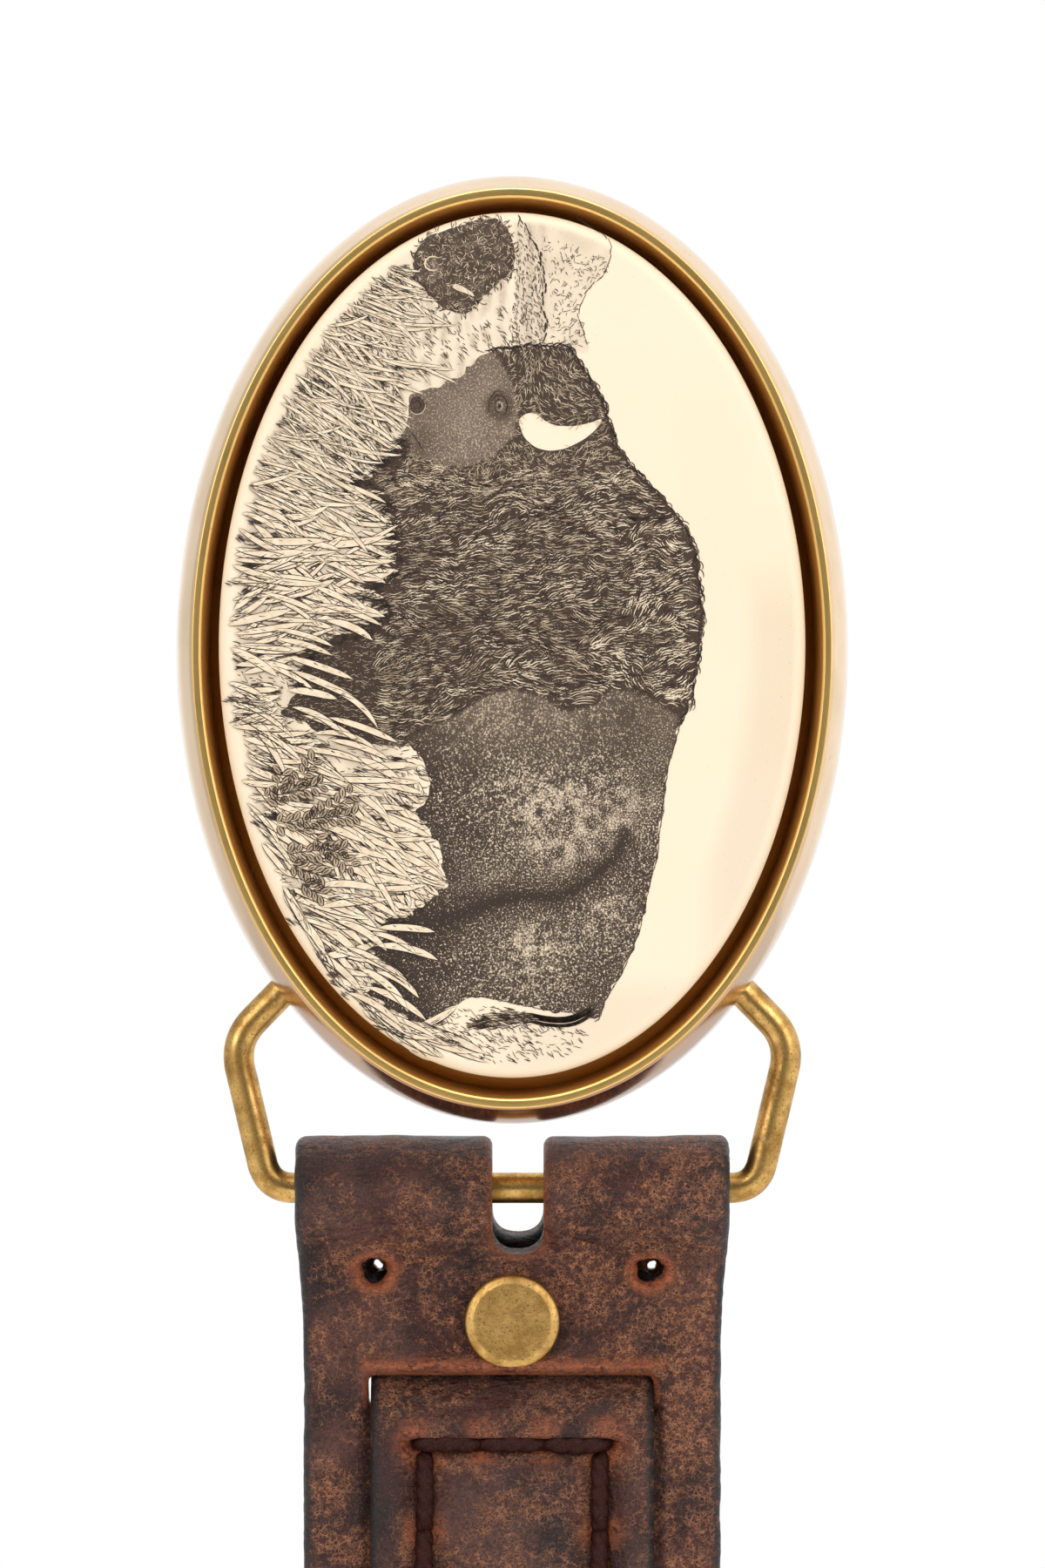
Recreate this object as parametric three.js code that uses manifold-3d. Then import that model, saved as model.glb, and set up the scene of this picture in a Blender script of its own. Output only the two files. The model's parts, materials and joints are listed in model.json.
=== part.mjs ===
// Oval dress belt buckle: brass bezel with an engraved inlay, a hinged wire bail behind it, and
// the leather belt end that the bail carries.
// Millimetres. +X right, +Z up, and the engraved face looks along -Y. The origin is the centre of
// the back plate's rear face. The bail hangs from its hinge tube and the belt end hangs from the bail.

import * as THREE from 'three';
import { mergeVertices } from 'three/addons/utils/BufferGeometryUtils.js';
import Module from 'manifold-3d';

const wasm = await Module();
wasm.setup();

// ---------------------------------------------------------------- driving dimensions

const GAP = 0.3;                                 // running gap between neighbours
const FIT = 0.05;                                // gap between faces that are pressed together

const OVAL = { halfWide: 29.34, halfTall: 41.38, depth: 8.0 };
const STRETCH = OVAL.halfTall - OVAL.halfWide;   // every oval is this much taller than it is wide
const RIM = { outer: 27.9, landOuter: 27.62, landInner: 27.0, innerTop: 26.85, innerFoot: 25.95 };
const LEDGE = { inner: 23.0, y: -3.9 };
const PLATE = { halfWide: 26.6, thick: 1.2 };
const INLAY = { halfWide: 25.5, glue: 0.4, edge: -7.0, crown: -8.3 };

const WIRE = { radius: 1.42, hingeZ: -26, barZ: -47.2, y: 3.1 };
const TUBE = { inner: 1.75, outer: 2.3, length: 26 };
const SADDLE = { length: 22, halfTall: 4.2, thick: 2.4 };
const HOOK = { z: 21, baseRadius: 2.6, baseThick: 1.0, radius: 1.6, rise: 5.0, tipY: 8.6, tipZ: 28.5 };

const BELT = { wide: 38.1, thick: 2.8, planeY: 2.4, foldInner: 1.8, end: -88.5 };
const FLAP = { planeY: 7.6, end: -65.5, taperFrom: -53.6, tipHalf: 7.0 };
const OVERLAY = { wide: 24.8, thick: 2.3, top: -54.5 };
const SLIT = { from: -60.2, to: -69.0 };
const TONGUE_SLOT = { wide: 4.4, bottom: -52.7, x: 0.5 };
const AIR_HOLE = { radius: 1.6, x: 12.0, z: -54.2 };
const POST = { z: -58.8, headRadius: 4.23, flatRadius: 3.5, headThick: 1.1, barrel: 2.0, bore: 1.4 };
const SCREW = { headRadius: 4.0, headThick: 1.0, shank: 1.1, slotWide: 1.0, slotDeep: 0.5 };
const THREAD = { wide: 1.6, bar: 1.5, leg: 1.1, between: 0.5 };
const BOX_STITCH = { halfWide: 8.4, columnX: 7.7, topZ: -69.3, bottomZ: -84.6, across: 3, down: 2 };

// ---------------------------------------------------------------- finishes

const metal = (color, roughness) => new THREE.MeshStandardMaterial({ color, roughness, metalness: 1 });
const matte = (color, roughness) => new THREE.MeshStandardMaterial({ color, roughness, metalness: 0 });
const FINISH = {
  polishedBrass: metal(0xd9b78a, 0.12),
  agedBrass: metal(0xa9843f, 0.38),
  ivoryPolymer: matte(0xf7e6c8, 0.35),
  adhesive: matte(0xcfc7b4, 0.7),
  beltLeather: matte(0x4f2d23, 0.45),
  overlayLeather: matte(0x59342a, 0.45),
  waxedThread: matte(0x3a2018, 0.75),
};

// ---------------------------------------------------------------- solids

// A closed geometry as a solid that can be joined and cut.
function toSolid(geometry) {
  const bare = geometry.clone();
  bare.deleteAttribute('normal');
  bare.deleteAttribute('uv');
  const merged = mergeVertices(bare, 1e-4);
  const vertProperties = new Float32Array(merged.attributes.position.array);
  const triVerts = new Uint32Array(merged.index.array);
  return new wasm.Manifold(new wasm.Mesh({ numProp: 3, vertProperties, triVerts }));
}

// A solid back as a geometry.
function toGeometry(solid) {
  const { vertProperties, triVerts } = solid.getMesh();
  const geometry = new THREE.BufferGeometry();
  geometry.setAttribute('position', new THREE.BufferAttribute(vertProperties, 3));
  geometry.setIndex(new THREE.BufferAttribute(triVerts, 1));
  return geometry;
}

// The geometry less every cutter.
function cut(geometry, cutters) {
  let solid = toSolid(geometry);
  for (const cutter of cutters) {
    solid = solid.subtract(toSolid(cutter));
  }
  return toGeometry(solid);
}

// A box between two corners.
function box([x0, y0, z0], [x1, y1, z1]) {
  const geometry = new THREE.BoxGeometry(x1 - x0, y1 - y0, z1 - z0);
  return geometry.translate((x0 + x1) / 2, (y0 + y1) / 2, (z0 + z1) / 2);
}

// A rod through the belt, along Y.
function rod(radius, x, z, fromY, toY) {
  const geometry = new THREE.CylinderGeometry(radius, radius, toY - fromY, 20);
  return geometry.translate(x, (fromY + toY) / 2, z);
}

// Rings of an oval body. Each ring is [half width, y, scale]; scale below 1 shrinks it towards the
// middle. An open body is closed by a point at each end, and a hoop joins its last ring to its first.
function ovalBody(rings, { hoop = false, segments = 72 } = {}) {
  const positions = [];
  for (const [halfWide, y, scale = 1] of rings) {
    for (let i = 0; i < segments; i++) {
      const angle = (i / segments) * 2 * Math.PI;
      const x = halfWide * scale * Math.cos(angle);
      const z = (halfWide + STRETCH) * scale * Math.sin(angle);
      positions.push(x, y, z);
    }
  }
  const index = [];
  const bands = hoop ? rings.length : rings.length - 1;
  for (let r = 0; r < bands; r++) {
    const here = r * segments;
    const next = ((r + 1) % rings.length) * segments;
    for (let i = 0; i < segments; i++) {
      const j = (i + 1) % segments;
      index.push(here + i, next + i, here + j, here + j, next + i, next + j);
    }
  }
  if (!hoop) {
    const first = positions.length / 3;
    const last = first + 1;
    const top = (rings.length - 1) * segments;
    positions.push(0, rings[0][1], 0, 0, rings.at(-1)[1], 0);
    for (let i = 0; i < segments; i++) {
      const j = (i + 1) % segments;
      index.push(first, i, j, last, top + j, top + i);
    }
  }
  const geometry = new THREE.BufferGeometry();
  geometry.setAttribute('position', new THREE.Float32BufferAttribute(positions, 3));
  geometry.setIndex(index);
  return geometry;
}

// A path through corner points, each corner rounded over the given length of its sides.
function roundedPath(points, reach) {
  const path = new THREE.CurvePath();
  let from = points[0];
  for (let i = 1; i < points.length - 1; i++) {
    const corner = points[i];
    const before = corner.clone().lerp(points[i - 1], reach[i - 1] / corner.distanceTo(points[i - 1]));
    const after = corner.clone().lerp(points[i + 1], reach[i - 1] / corner.distanceTo(points[i + 1]));
    path.add(new THREE.LineCurve3(from, before));
    path.add(new THREE.QuadraticBezierCurve3(before, corner, after));
    from = after;
  }
  path.add(new THREE.LineCurve3(from, points.at(-1)));
  return path;
}

// A round bar along a path.
function roundBar(path, radius, steps, sides = 12) {
  const section = new THREE.Shape();
  for (let i = 0; i < sides; i++) {
    const angle = (i / sides) * 2 * Math.PI;
    const place = [radius * Math.cos(angle), radius * Math.sin(angle)];
    if (i === 0) section.moveTo(...place);
    else section.lineTo(...place);
  }
  return new THREE.ExtrudeGeometry(section, { steps, extrudePath: path, bevelEnabled: false });
}

// The outline of a sheet that is bent along a centre line, in the (y, z) plane.
function sheetOutline(centre, thick, divisions) {
  const front = [];
  const back = [];
  for (let i = 0; i <= divisions; i++) {
    const at = centre.getPointAt(i / divisions);
    const along = centre.getTangentAt(i / divisions);
    const normal = new THREE.Vector2(-along.y, along.x).multiplyScalar(thick / 2);
    front.push(at.clone().add(normal));
    back.push(at.clone().sub(normal));
  }
  return new THREE.Shape([...front, ...back.reverse()]);
}

// An outline in (y, z) made into a solid of the given width, centred on x = 0.
function acrossX(outline, wide) {
  const geometry = new THREE.ExtrudeGeometry(outline, { depth: wide, bevelEnabled: false });
  geometry.translate(0, 0, -wide / 2);
  const axes = new THREE.Matrix4().makeBasis(
    new THREE.Vector3(0, 1, 0), new THREE.Vector3(0, 0, 1), new THREE.Vector3(1, 0, 0));
  return geometry.applyMatrix4(axes);
}

// ---------------------------------------------------------------- the oval

function bezelFrame() {
  const { depth, halfWide } = OVAL;
  const seat = PLATE.halfWide + GAP;
  return ovalBody([
    [RIM.landInner, -depth],
    [RIM.landOuter, -depth],
    [RIM.outer, -depth + 0.35],
    [halfWide, -0.7],
    [halfWide - 0.15, -0.2],
    [halfWide - 0.5, 0],
    [seat, 0],
    [seat, -PLATE.thick - FIT],
    [LEDGE.inner, -PLATE.thick - FIT],
    [LEDGE.inner, LEDGE.y],
    [RIM.innerFoot, LEDGE.y],
    [RIM.innerTop, -depth + 0.15],
  ], { hoop: true });
}

function backPlate() {
  return ovalBody([
    [PLATE.halfWide, -PLATE.thick],
    [PLATE.halfWide, -0.3],
    [PLATE.halfWide - 0.3, 0],
  ]);
}

function inlayAdhesive() {
  const back = LEDGE.y - 0.02;
  return ovalBody([
    [INLAY.halfWide - 0.6, back - INLAY.glue + 0.02],
    [INLAY.halfWide - 0.6, back],
  ]);
}

function scrimshawInlay() {
  const back = LEDGE.y - INLAY.glue - 0.02;
  return ovalBody([
    [INLAY.halfWide, INLAY.crown + 0.04, 0.35],
    [INLAY.halfWide, INLAY.crown + 0.14, 0.7],
    [INLAY.halfWide - 1.3, INLAY.edge - 0.95],
    [INLAY.halfWide - 0.6, INLAY.edge - 0.75],
    [INLAY.halfWide - 0.15, INLAY.edge - 0.35],
    [INLAY.halfWide, INLAY.edge],
    [INLAY.halfWide, back - 0.3],
    [INLAY.halfWide - 0.3, back],
  ]);
}

// ---------------------------------------------------------------- the hinge and the hook

function bailTube() {
  const half = TUBE.length / 2;
  const profile = [
    new THREE.Vector2(TUBE.inner, -half),
    new THREE.Vector2(TUBE.outer, -half),
    new THREE.Vector2(TUBE.outer, half),
    new THREE.Vector2(TUBE.inner, half),
    new THREE.Vector2(TUBE.inner, -half),
  ];
  return new THREE.LatheGeometry(profile, 28);
}

// A block under the tube, with a groove that the tube is soldered into.
function tubeSaddle() {
  const { y, hingeZ } = WIRE;
  const block = box(
    [-SADDLE.length / 2, 0, hingeZ - SADDLE.halfTall],
    [SADDLE.length / 2, SADDLE.thick, hingeZ + SADDLE.halfTall]);
  const groove = new THREE.CylinderGeometry(TUBE.outer + GAP, TUBE.outer + GAP, SADDLE.length + 2, 28);
  groove.rotateZ(Math.PI / 2).translate(0, y, hingeZ);
  return cut(block, [groove]);
}

// The wire's two ends meet inside the tube; its bottom bar passes through the belt's fold.
function bailWire() {
  const { y, hingeZ, barZ, radius } = WIRE;
  const half = [[0.8, hingeZ], [16.4, hingeZ], [24.5, -34.3], [21.45, barZ]];
  const left = half.map(([x, z]) => new THREE.Vector3(-x, y, z));
  const right = half.map(([x, z]) => new THREE.Vector3(x, y, z)).reverse();
  const path = roundedPath([...left, ...right], [1.8, 2.6, 2.3, 2.3, 2.6, 1.8]);
  return roundBar(path, radius, 84, 10);
}

// A post with a leaning tip, on a small round foot. The belt's free end hangs on it.
function beltHook() {
  const { z, baseRadius, baseThick, radius, rise, tipY, tipZ } = HOOK;
  const foot = new THREE.CylinderGeometry(baseRadius, baseRadius, baseThick, 24);
  foot.translate(0, baseThick / 2, z);
  const line = roundedPath([
    new THREE.Vector3(0, baseThick / 2, z),
    new THREE.Vector3(0, rise, z),
    new THREE.Vector3(0, tipY, tipZ),
  ], [2.4]);
  const tip = new THREE.SphereGeometry(radius, 14, 10).translate(0, tipY, tipZ);
  const solid = toSolid(foot).add(toSolid(roundBar(line, radius, 16, 14))).add(toSolid(tip));
  return toGeometry(solid);
}

// ---------------------------------------------------------------- the belt end

const FOLD_RADIUS = BELT.foldInner + BELT.thick / 2;
const FRONT_Y = BELT.planeY - BELT.thick / 2;          // front face of the belt below the fold
const REAR_Y = BELT.planeY + BELT.thick / 2;
const FLAP_REAR_Y = FLAP.planeY + BELT.thick / 2;
const OVERLAY_FRONT_Y = FRONT_Y - FIT - OVERLAY.thick; // front face of the overlay strap

// Centre line of the belt: up the front, over the bar, and down the back as the return flap.
function beltCentre() {
  const { y, barZ } = WIRE;
  const path = new THREE.Path();
  path.moveTo(BELT.planeY, BELT.end);
  path.lineTo(BELT.planeY, -54.2);
  path.bezierCurveTo(BELT.planeY, -51.4, y - FOLD_RADIUS, -50.4, y - FOLD_RADIUS, barZ);
  path.absarc(y, barZ, FOLD_RADIUS, Math.PI, 0, true);
  path.bezierCurveTo(y + FOLD_RADIUS, -49.6, FLAP.planeY, -51, FLAP.planeY, -53.6);
  path.lineTo(FLAP.planeY, FLAP.end);
  return path;
}

// Centre line of the overlay: behind the belt at the top, through the slit, then in front of it.
function overlayCentre(top, bottom) {
  const behind = REAR_Y + FIT + OVERLAY.thick / 2;
  const before = OVERLAY_FRONT_Y + OVERLAY.thick / 2;
  const path = new THREE.Path();
  path.moveTo(behind, top);
  path.lineTo(behind, SLIT.from);
  path.bezierCurveTo(behind, SLIT.from - 4, before, SLIT.to + 4, before, SLIT.to);
  path.lineTo(before, bottom);
  return path;
}

// Each stitch as its middle, its length and whether it runs down the belt.
function stitchPlan() {
  const { halfWide, columnX, topZ, bottomZ, across, down } = BOX_STITCH;
  const pitch = (2 * halfWide) / across;
  const clear = THREAD.wide / 2 + GAP;
  const drop = (topZ - bottomZ - 2 * clear) / down;
  const plan = [];
  for (const z of [topZ, bottomZ]) {
    for (let i = 0; i < across; i++) {
      plan.push({ x: -halfWide + (i + 0.5) * pitch, z, length: pitch - THREAD.between, downwards: false });
    }
  }
  for (const x of [-columnX, columnX]) {
    for (let i = 0; i < down; i++) {
      const z = topZ - clear - (i + 0.5) * drop;
      plan.push({ x, z, length: drop - THREAD.between, downwards: true });
    }
  }
  return plan;
}

// The two holes that a stitch's legs pass through.
function stitchHoles({ x, z, length, downwards }) {
  const along = (length - THREAD.leg) / 2;
  const halfLeg = THREAD.leg / 2 + GAP;
  const halfWide = THREAD.wide / 2 + GAP;
  return [-along, along].map((offset) => {
    const middle = downwards ? [x, z + offset] : [x + offset, z];
    const half = downwards ? [halfWide, halfLeg] : [halfLeg, halfWide];
    return box([middle[0] - half[0], -6, middle[1] - half[1]], [middle[0] + half[0], 12, middle[1] + half[1]]);
  });
}

// A wedge that tapers the return flap on one side and leaves the front of the belt whole.
function taperWedge(side) {
  const outer = BELT.wide / 2 + 1;
  const depth = 10;
  const corners = [[outer, FLAP.taperFrom], [outer, FLAP.end - 1], [FLAP.tipHalf, FLAP.end - 1]];
  const outline = new THREE.Shape(corners.map(([x, z]) => new THREE.Vector2(side * x, z)));
  const geometry = new THREE.ExtrudeGeometry(outline, { depth, bevelEnabled: false });
  return geometry.rotateX(Math.PI / 2).translate(0, REAR_Y + 1.2 + depth, 0);
}

function beltStrap() {
  const { x, wide, bottom } = TONGUE_SLOT;
  const sheet = acrossX(sheetOutline(beltCentre(), BELT.thick, 72), BELT.wide);
  const slit = acrossX(
    sheetOutline(overlayCentre(SLIT.from + 0.5, SLIT.to - 0.5), OVERLAY.thick + 2 * GAP, 24),
    OVERLAY.wide + 2 * GAP);
  const slotTop = WIRE.barZ + 10;
  const cutters = [
    slit,
    box([x - wide / 2, -8, bottom + wide / 2], [x + wide / 2, 14, slotTop]),
    rod(wide / 2, x, bottom + wide / 2, -8, 14),
    rod(AIR_HOLE.radius, -AIR_HOLE.x, AIR_HOLE.z, -8, 14),
    rod(AIR_HOLE.radius, AIR_HOLE.x, AIR_HOLE.z, -8, 14),
    rod(POST.barrel + GAP, 0, POST.z, -8, 14),
    taperWedge(-1),
    taperWedge(1),
    ...stitchPlan().flatMap(stitchHoles),
  ];
  return cut(sheet, cutters);
}

function overlayStrap() {
  const sheet = acrossX(sheetOutline(overlayCentre(OVERLAY.top, BELT.end), OVERLAY.thick, 60), OVERLAY.wide);
  return cut(sheet, [rod(POST.barrel + GAP, 0, POST.z, -8, 14), ...stitchPlan().flatMap(stitchHoles)]);
}

// A stitch is one loop of thread: along the front, through both straps, and back along the rear.
function stitch({ length }) {
  const front = OVERLAY_FRONT_Y - FIT - THREAD.bar;
  const rear = REAR_Y + FIT + THREAD.bar;
  const half = length / 2;
  const round = 0.8;
  const outline = new THREE.Shape([
    [-half + round, front], [half - round, front], [half, front + round], [half, rear - round],
    [half - round, rear], [-half + round, rear], [-half, rear - round], [-half, front + round],
  ].map(([x, y]) => new THREE.Vector2(x, y)));
  const inner = half - THREAD.leg;
  outline.holes.push(new THREE.Path([
    [-inner, front + THREAD.bar], [-inner, rear - THREAD.bar],
    [inner, rear - THREAD.bar], [inner, front + THREAD.bar],
  ].map(([x, y]) => new THREE.Vector2(x, y))));
  const bevel = 0.35;
  const geometry = new THREE.ExtrudeGeometry(outline, {
    depth: THREAD.wide - 2 * bevel, bevelSize: bevel, bevelThickness: bevel, bevelOffset: -bevel, bevelSegments: 1,
  });
  return geometry.translate(0, 0, -(THREAD.wide - 2 * bevel) / 2);
}

// ---------------------------------------------------------------- the screw post

function screwPost() {
  const front = FRONT_Y - FIT;
  const end = FLAP_REAR_Y - GAP;
  const profile = [
    [0, front - POST.headThick], [POST.flatRadius, front - POST.headThick],
    [POST.headRadius, front - POST.headThick * 0.55], [POST.headRadius, front], [POST.barrel, front],
    [POST.barrel, end], [POST.bore, end], [POST.bore, front + 1], [0, front + 1],
  ].map(([r, y]) => new THREE.Vector2(r, y));
  return new THREE.LatheGeometry(profile, 28);
}

function postScrew() {
  const seat = FLAP_REAR_Y + FIT;
  const back = seat + SCREW.headThick;
  const profile = [
    [0, FRONT_Y + 2], [SCREW.shank, FRONT_Y + 2], [SCREW.shank, seat], [SCREW.headRadius, seat],
    [SCREW.headRadius, back - 0.3], [SCREW.headRadius - 0.3, back], [0, back],
  ].map(([r, y]) => new THREE.Vector2(r, y));
  const screw = new THREE.LatheGeometry(profile, 28);
  const half = SCREW.slotWide / 2;
  const slot = box([-SCREW.headRadius - 1, back - SCREW.slotDeep, -half], [SCREW.headRadius + 1, back + 1, half]);
  return cut(screw, [slot]);
}

// ---------------------------------------------------------------- the assembly

const buckle = new THREE.Group();

function add(name, geometry, material) {
  const mesh = new THREE.Mesh(geometry, material);
  mesh.name = name;
  buckle.add(mesh);
  return mesh;
}

add('bezel_frame', bezelFrame(), FINISH.polishedBrass);
add('back_plate', backPlate(), FINISH.agedBrass);
add('inlay_adhesive', inlayAdhesive(), FINISH.adhesive);
add('scrimshaw_inlay', scrimshawInlay(), FINISH.ivoryPolymer);
add('tube_saddle', tubeSaddle(), FINISH.agedBrass);
const tube = add('bail_tube', bailTube(), FINISH.agedBrass);
tube.rotation.z = Math.PI / 2;
tube.position.set(0, WIRE.y, WIRE.hingeZ);
add('belt_hook', beltHook(), FINISH.agedBrass);
add('bail_wire', bailWire(), FINISH.agedBrass);
add('belt_strap', beltStrap(), FINISH.beltLeather);
add('overlay_strap', overlayStrap(), FINISH.overlayLeather);
add('screw_post', screwPost(), FINISH.agedBrass).position.z = POST.z;
add('post_screw', postScrew(), FINISH.agedBrass).position.z = POST.z;
stitchPlan().forEach((plan, i) => {
  const mesh = add(`box_stitch_${i + 1}`, stitch(plan), FINISH.waxedThread);
  mesh.position.set(plan.x, 0, plan.z);
  if (plan.downwards) mesh.rotation.y = Math.PI / 2;
});

export default buckle;
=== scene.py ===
"""Looks of the oval dress buckle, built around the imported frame.

Shapes are worked out in millimetres and scaled to metres when a mesh is made. The engraved face
looks along -Y and the belt end hangs down. The engraving is laid out in the picture's own axes:
u runs along the picture's ground and v up from it, with x = v and z = -u on the buckle.
"""

import json
import math
import random

import bmesh
import bpy
import numpy as np
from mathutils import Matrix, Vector, noise
from mathutils.geometry import delaunay_2d_cdt
from mathutils.kdtree import KDTree


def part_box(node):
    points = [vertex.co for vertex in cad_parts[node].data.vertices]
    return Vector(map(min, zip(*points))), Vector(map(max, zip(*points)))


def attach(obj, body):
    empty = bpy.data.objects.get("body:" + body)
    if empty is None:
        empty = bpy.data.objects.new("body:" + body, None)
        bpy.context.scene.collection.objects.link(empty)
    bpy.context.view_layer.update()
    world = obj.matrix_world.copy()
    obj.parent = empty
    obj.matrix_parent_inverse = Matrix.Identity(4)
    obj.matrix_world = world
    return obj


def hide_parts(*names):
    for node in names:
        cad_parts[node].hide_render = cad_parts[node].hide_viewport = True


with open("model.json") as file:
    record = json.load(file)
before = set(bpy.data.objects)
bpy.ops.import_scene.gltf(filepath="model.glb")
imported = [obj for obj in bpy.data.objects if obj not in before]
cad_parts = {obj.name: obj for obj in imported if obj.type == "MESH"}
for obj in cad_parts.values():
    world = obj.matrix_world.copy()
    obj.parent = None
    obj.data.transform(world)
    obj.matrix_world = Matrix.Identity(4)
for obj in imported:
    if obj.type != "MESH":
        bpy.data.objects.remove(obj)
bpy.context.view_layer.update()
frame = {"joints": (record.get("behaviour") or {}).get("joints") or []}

MM = 0.001
TAU = 2 * math.pi


def box_mm(node):
    low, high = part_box(node)
    return np.array(low) / MM, np.array(high) / MM


# ------------------------------------------------------------------ sizes, from the frame

BEZEL_LOW, BEZEL_HIGH = box_mm("bezel_frame")
INLAY_LOW, INLAY_HIGH = box_mm("scrimshaw_inlay")
PLATE_LOW, PLATE_HIGH = box_mm("back_plate")
WIRE_LOW, WIRE_HIGH = box_mm("bail_wire")
TUBE_LOW, TUBE_HIGH = box_mm("bail_tube")
SADDLE_HIGH = box_mm("tube_saddle")[1]
HOOK_HIGH = box_mm("belt_hook")[1]
BELT_LOW, BELT_HIGH = box_mm("belt_strap")
OVERLAY_LOW, OVERLAY_HIGH = box_mm("overlay_strap")
POST_LOW, POST_HIGH = box_mm("screw_post")
SCREW_HIGH = box_mm("post_screw")[1]

HALF_WIDE = BEZEL_HIGH[0]
STRETCH = BEZEL_HIGH[2] - HALF_WIDE        # every oval is this much taller than wide, each side
FACE_Y = BEZEL_LOW[1]
PIVOTS = {j["name"]: np.array(j["pos_m"]) / MM for j in frame["joints"]}
BAIL_Y, HINGE_Z = PIVOTS["bail_hinge"][1:]
BAR_Z = PIVOTS["strap_hinge"][2]
WIRE_RADIUS = (WIRE_HIGH[1] - WIRE_LOW[1]) / 2

BELT_THICK = 2.8
BELT_PLANE = 2.4                           # y of the middle of the belt below the fold
FOLD_RADIUS = 1.8 + BELT_THICK / 2
FLAP_PLANE, FLAP_FROM, FLAP_END = 7.6, -53.6, -65.5
OVERLAY_THICK = 2.3
OVERLAY_IN, OVERLAY_OUT = -60.2, -69.0     # heights between which the overlay passes the slit
OVERLAY_BEFORE = OVERLAY_LOW[1] + OVERLAY_THICK / 2
OVERLAY_BEHIND = OVERLAY_HIGH[1] - OVERLAY_THICK / 2
POST_Z = (POST_LOW[2] + POST_HIGH[2]) / 2
CAP_RADIUS = POST_HIGH[0]


# ------------------------------------------------------------------ mesh helpers

def make_mesh(name, vertices, faces, attributes=None):
    """A mesh object from millimetre vertices, smooth shaded, with float attributes on its points."""
    mesh = bpy.data.meshes.new(name)
    mesh.from_pydata((np.asarray(vertices, float) * MM).tolist(), [], faces)
    for key, values in (attributes or {}).items():
        layer = mesh.attributes.new(key, "FLOAT", "POINT")
        layer.data.foreach_set("value", np.asarray(values, np.float32))
    mesh.validate()
    mesh.shade_smooth()
    obj = bpy.data.objects.new(name, mesh)
    bpy.context.scene.collection.objects.link(obj)
    return obj


def finish_piece(obj, body, slot, material, *nodes):
    obj.data.materials.clear()
    obj.data.materials.append(material)
    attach(obj, body)
    if nodes:
        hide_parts(*nodes)
    return obj


def grid_faces(rows, columns, wrap_rows=False, wrap_columns=True):
    """Quads over a grid of rows by columns of points."""
    faces = []
    for r in range(rows if wrap_rows else rows - 1):
        here, there = r * columns, ((r + 1) % rows) * columns
        for c in range(columns if wrap_columns else columns - 1):
            d = (c + 1) % columns
            faces.append((here + c, here + d, there + d, there + c))
    return faces


def rounded(points, reach, steps=5):
    """A polyline with each inner corner rounded over `reach` of its two sides."""
    points = [np.array(p, float) for p in points]
    out = [points[0]]
    for i in range(1, len(points) - 1):
        corner, size = points[i], reach[i - 1] if isinstance(reach, (list, tuple)) else reach
        before, after = (corner + (other - corner) * min(0.49, size / np.linalg.norm(other - corner))
                         for other in (points[i - 1], points[i + 1]))
        for t in np.linspace(0, 1, steps + 1):
            out.append((1 - t) ** 2 * before + 2 * t * (1 - t) * corner + t * t * after)
    out.append(points[-1])
    return np.array(out)


def lengths_along(points):
    """Distance from the first point of a polyline to each of its points."""
    return np.concatenate([[0], np.cumsum(np.linalg.norm(np.diff(points, axis=0), axis=1))])


def total_length(points):
    return float(np.sum(np.linalg.norm(np.diff(points, axis=0), axis=1)))


def resample(points, count):
    """The polyline's points moved to even spacing."""
    points = np.asarray(points, float)
    length = lengths_along(points)
    at = np.linspace(0, length[-1], count)
    return np.stack([np.interp(at, length, points[:, k]) for k in range(points.shape[1])], axis=1)


def end_fans(count, rows, segments):
    """Triangles from two points, numbered count and count + 1, to the first and the last of the rings."""
    top = (rows - 1) * segments
    faces = []
    for i in range(segments):
        j = (i + 1) % segments
        faces.append((count, j, i))
        faces.append((count + 1, top + i, top + j))
    return faces


def oval_rings(profile, segments):
    """Points of the ovals at each (half width, y, scale) of a profile."""
    angles = np.linspace(0, TAU, segments, endpoint=False)
    rings = []
    for half_wide, y, scale in profile:
        x = half_wide * scale * np.cos(angles)
        z = (half_wide + STRETCH) * scale * np.sin(angles)
        rings.append(np.stack([x, np.full(segments, y), z], axis=1))
    return np.concatenate(rings)


def lathe(profile, segments, centre, axis):
    """A closed body turned about an axis. Its profile is (radius, along), and it starts and ends on the
    axis or runs back to its first point."""
    angles = np.linspace(0, TAU, segments, endpoint=False)
    profile = [tuple(p) for p in profile]
    hoop = profile[0][0] > 1e-6
    inner = profile if hoop else profile[1:-1]
    points = []
    for radius, along in inner:
        a, b = radius * np.cos(angles), radius * np.sin(angles)
        level = np.full(segments, along)
        columns = (a, level, b) if axis == "y" else (level, b, a)
        points.append(np.stack(columns, axis=1))
    points = np.concatenate(points)
    faces = grid_faces(len(inner), segments, wrap_rows=hoop)
    if not hoop:
        ends = [(0, profile[0][1], 0), (0, profile[-1][1], 0)]
        if axis == "x":
            ends = [(profile[0][1], 0, 0), (profile[-1][1], 0, 0)]
        faces += end_fans(len(points), len(inner), segments)
        points = np.concatenate([points, ends])
    return points + np.array(centre), faces


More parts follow.
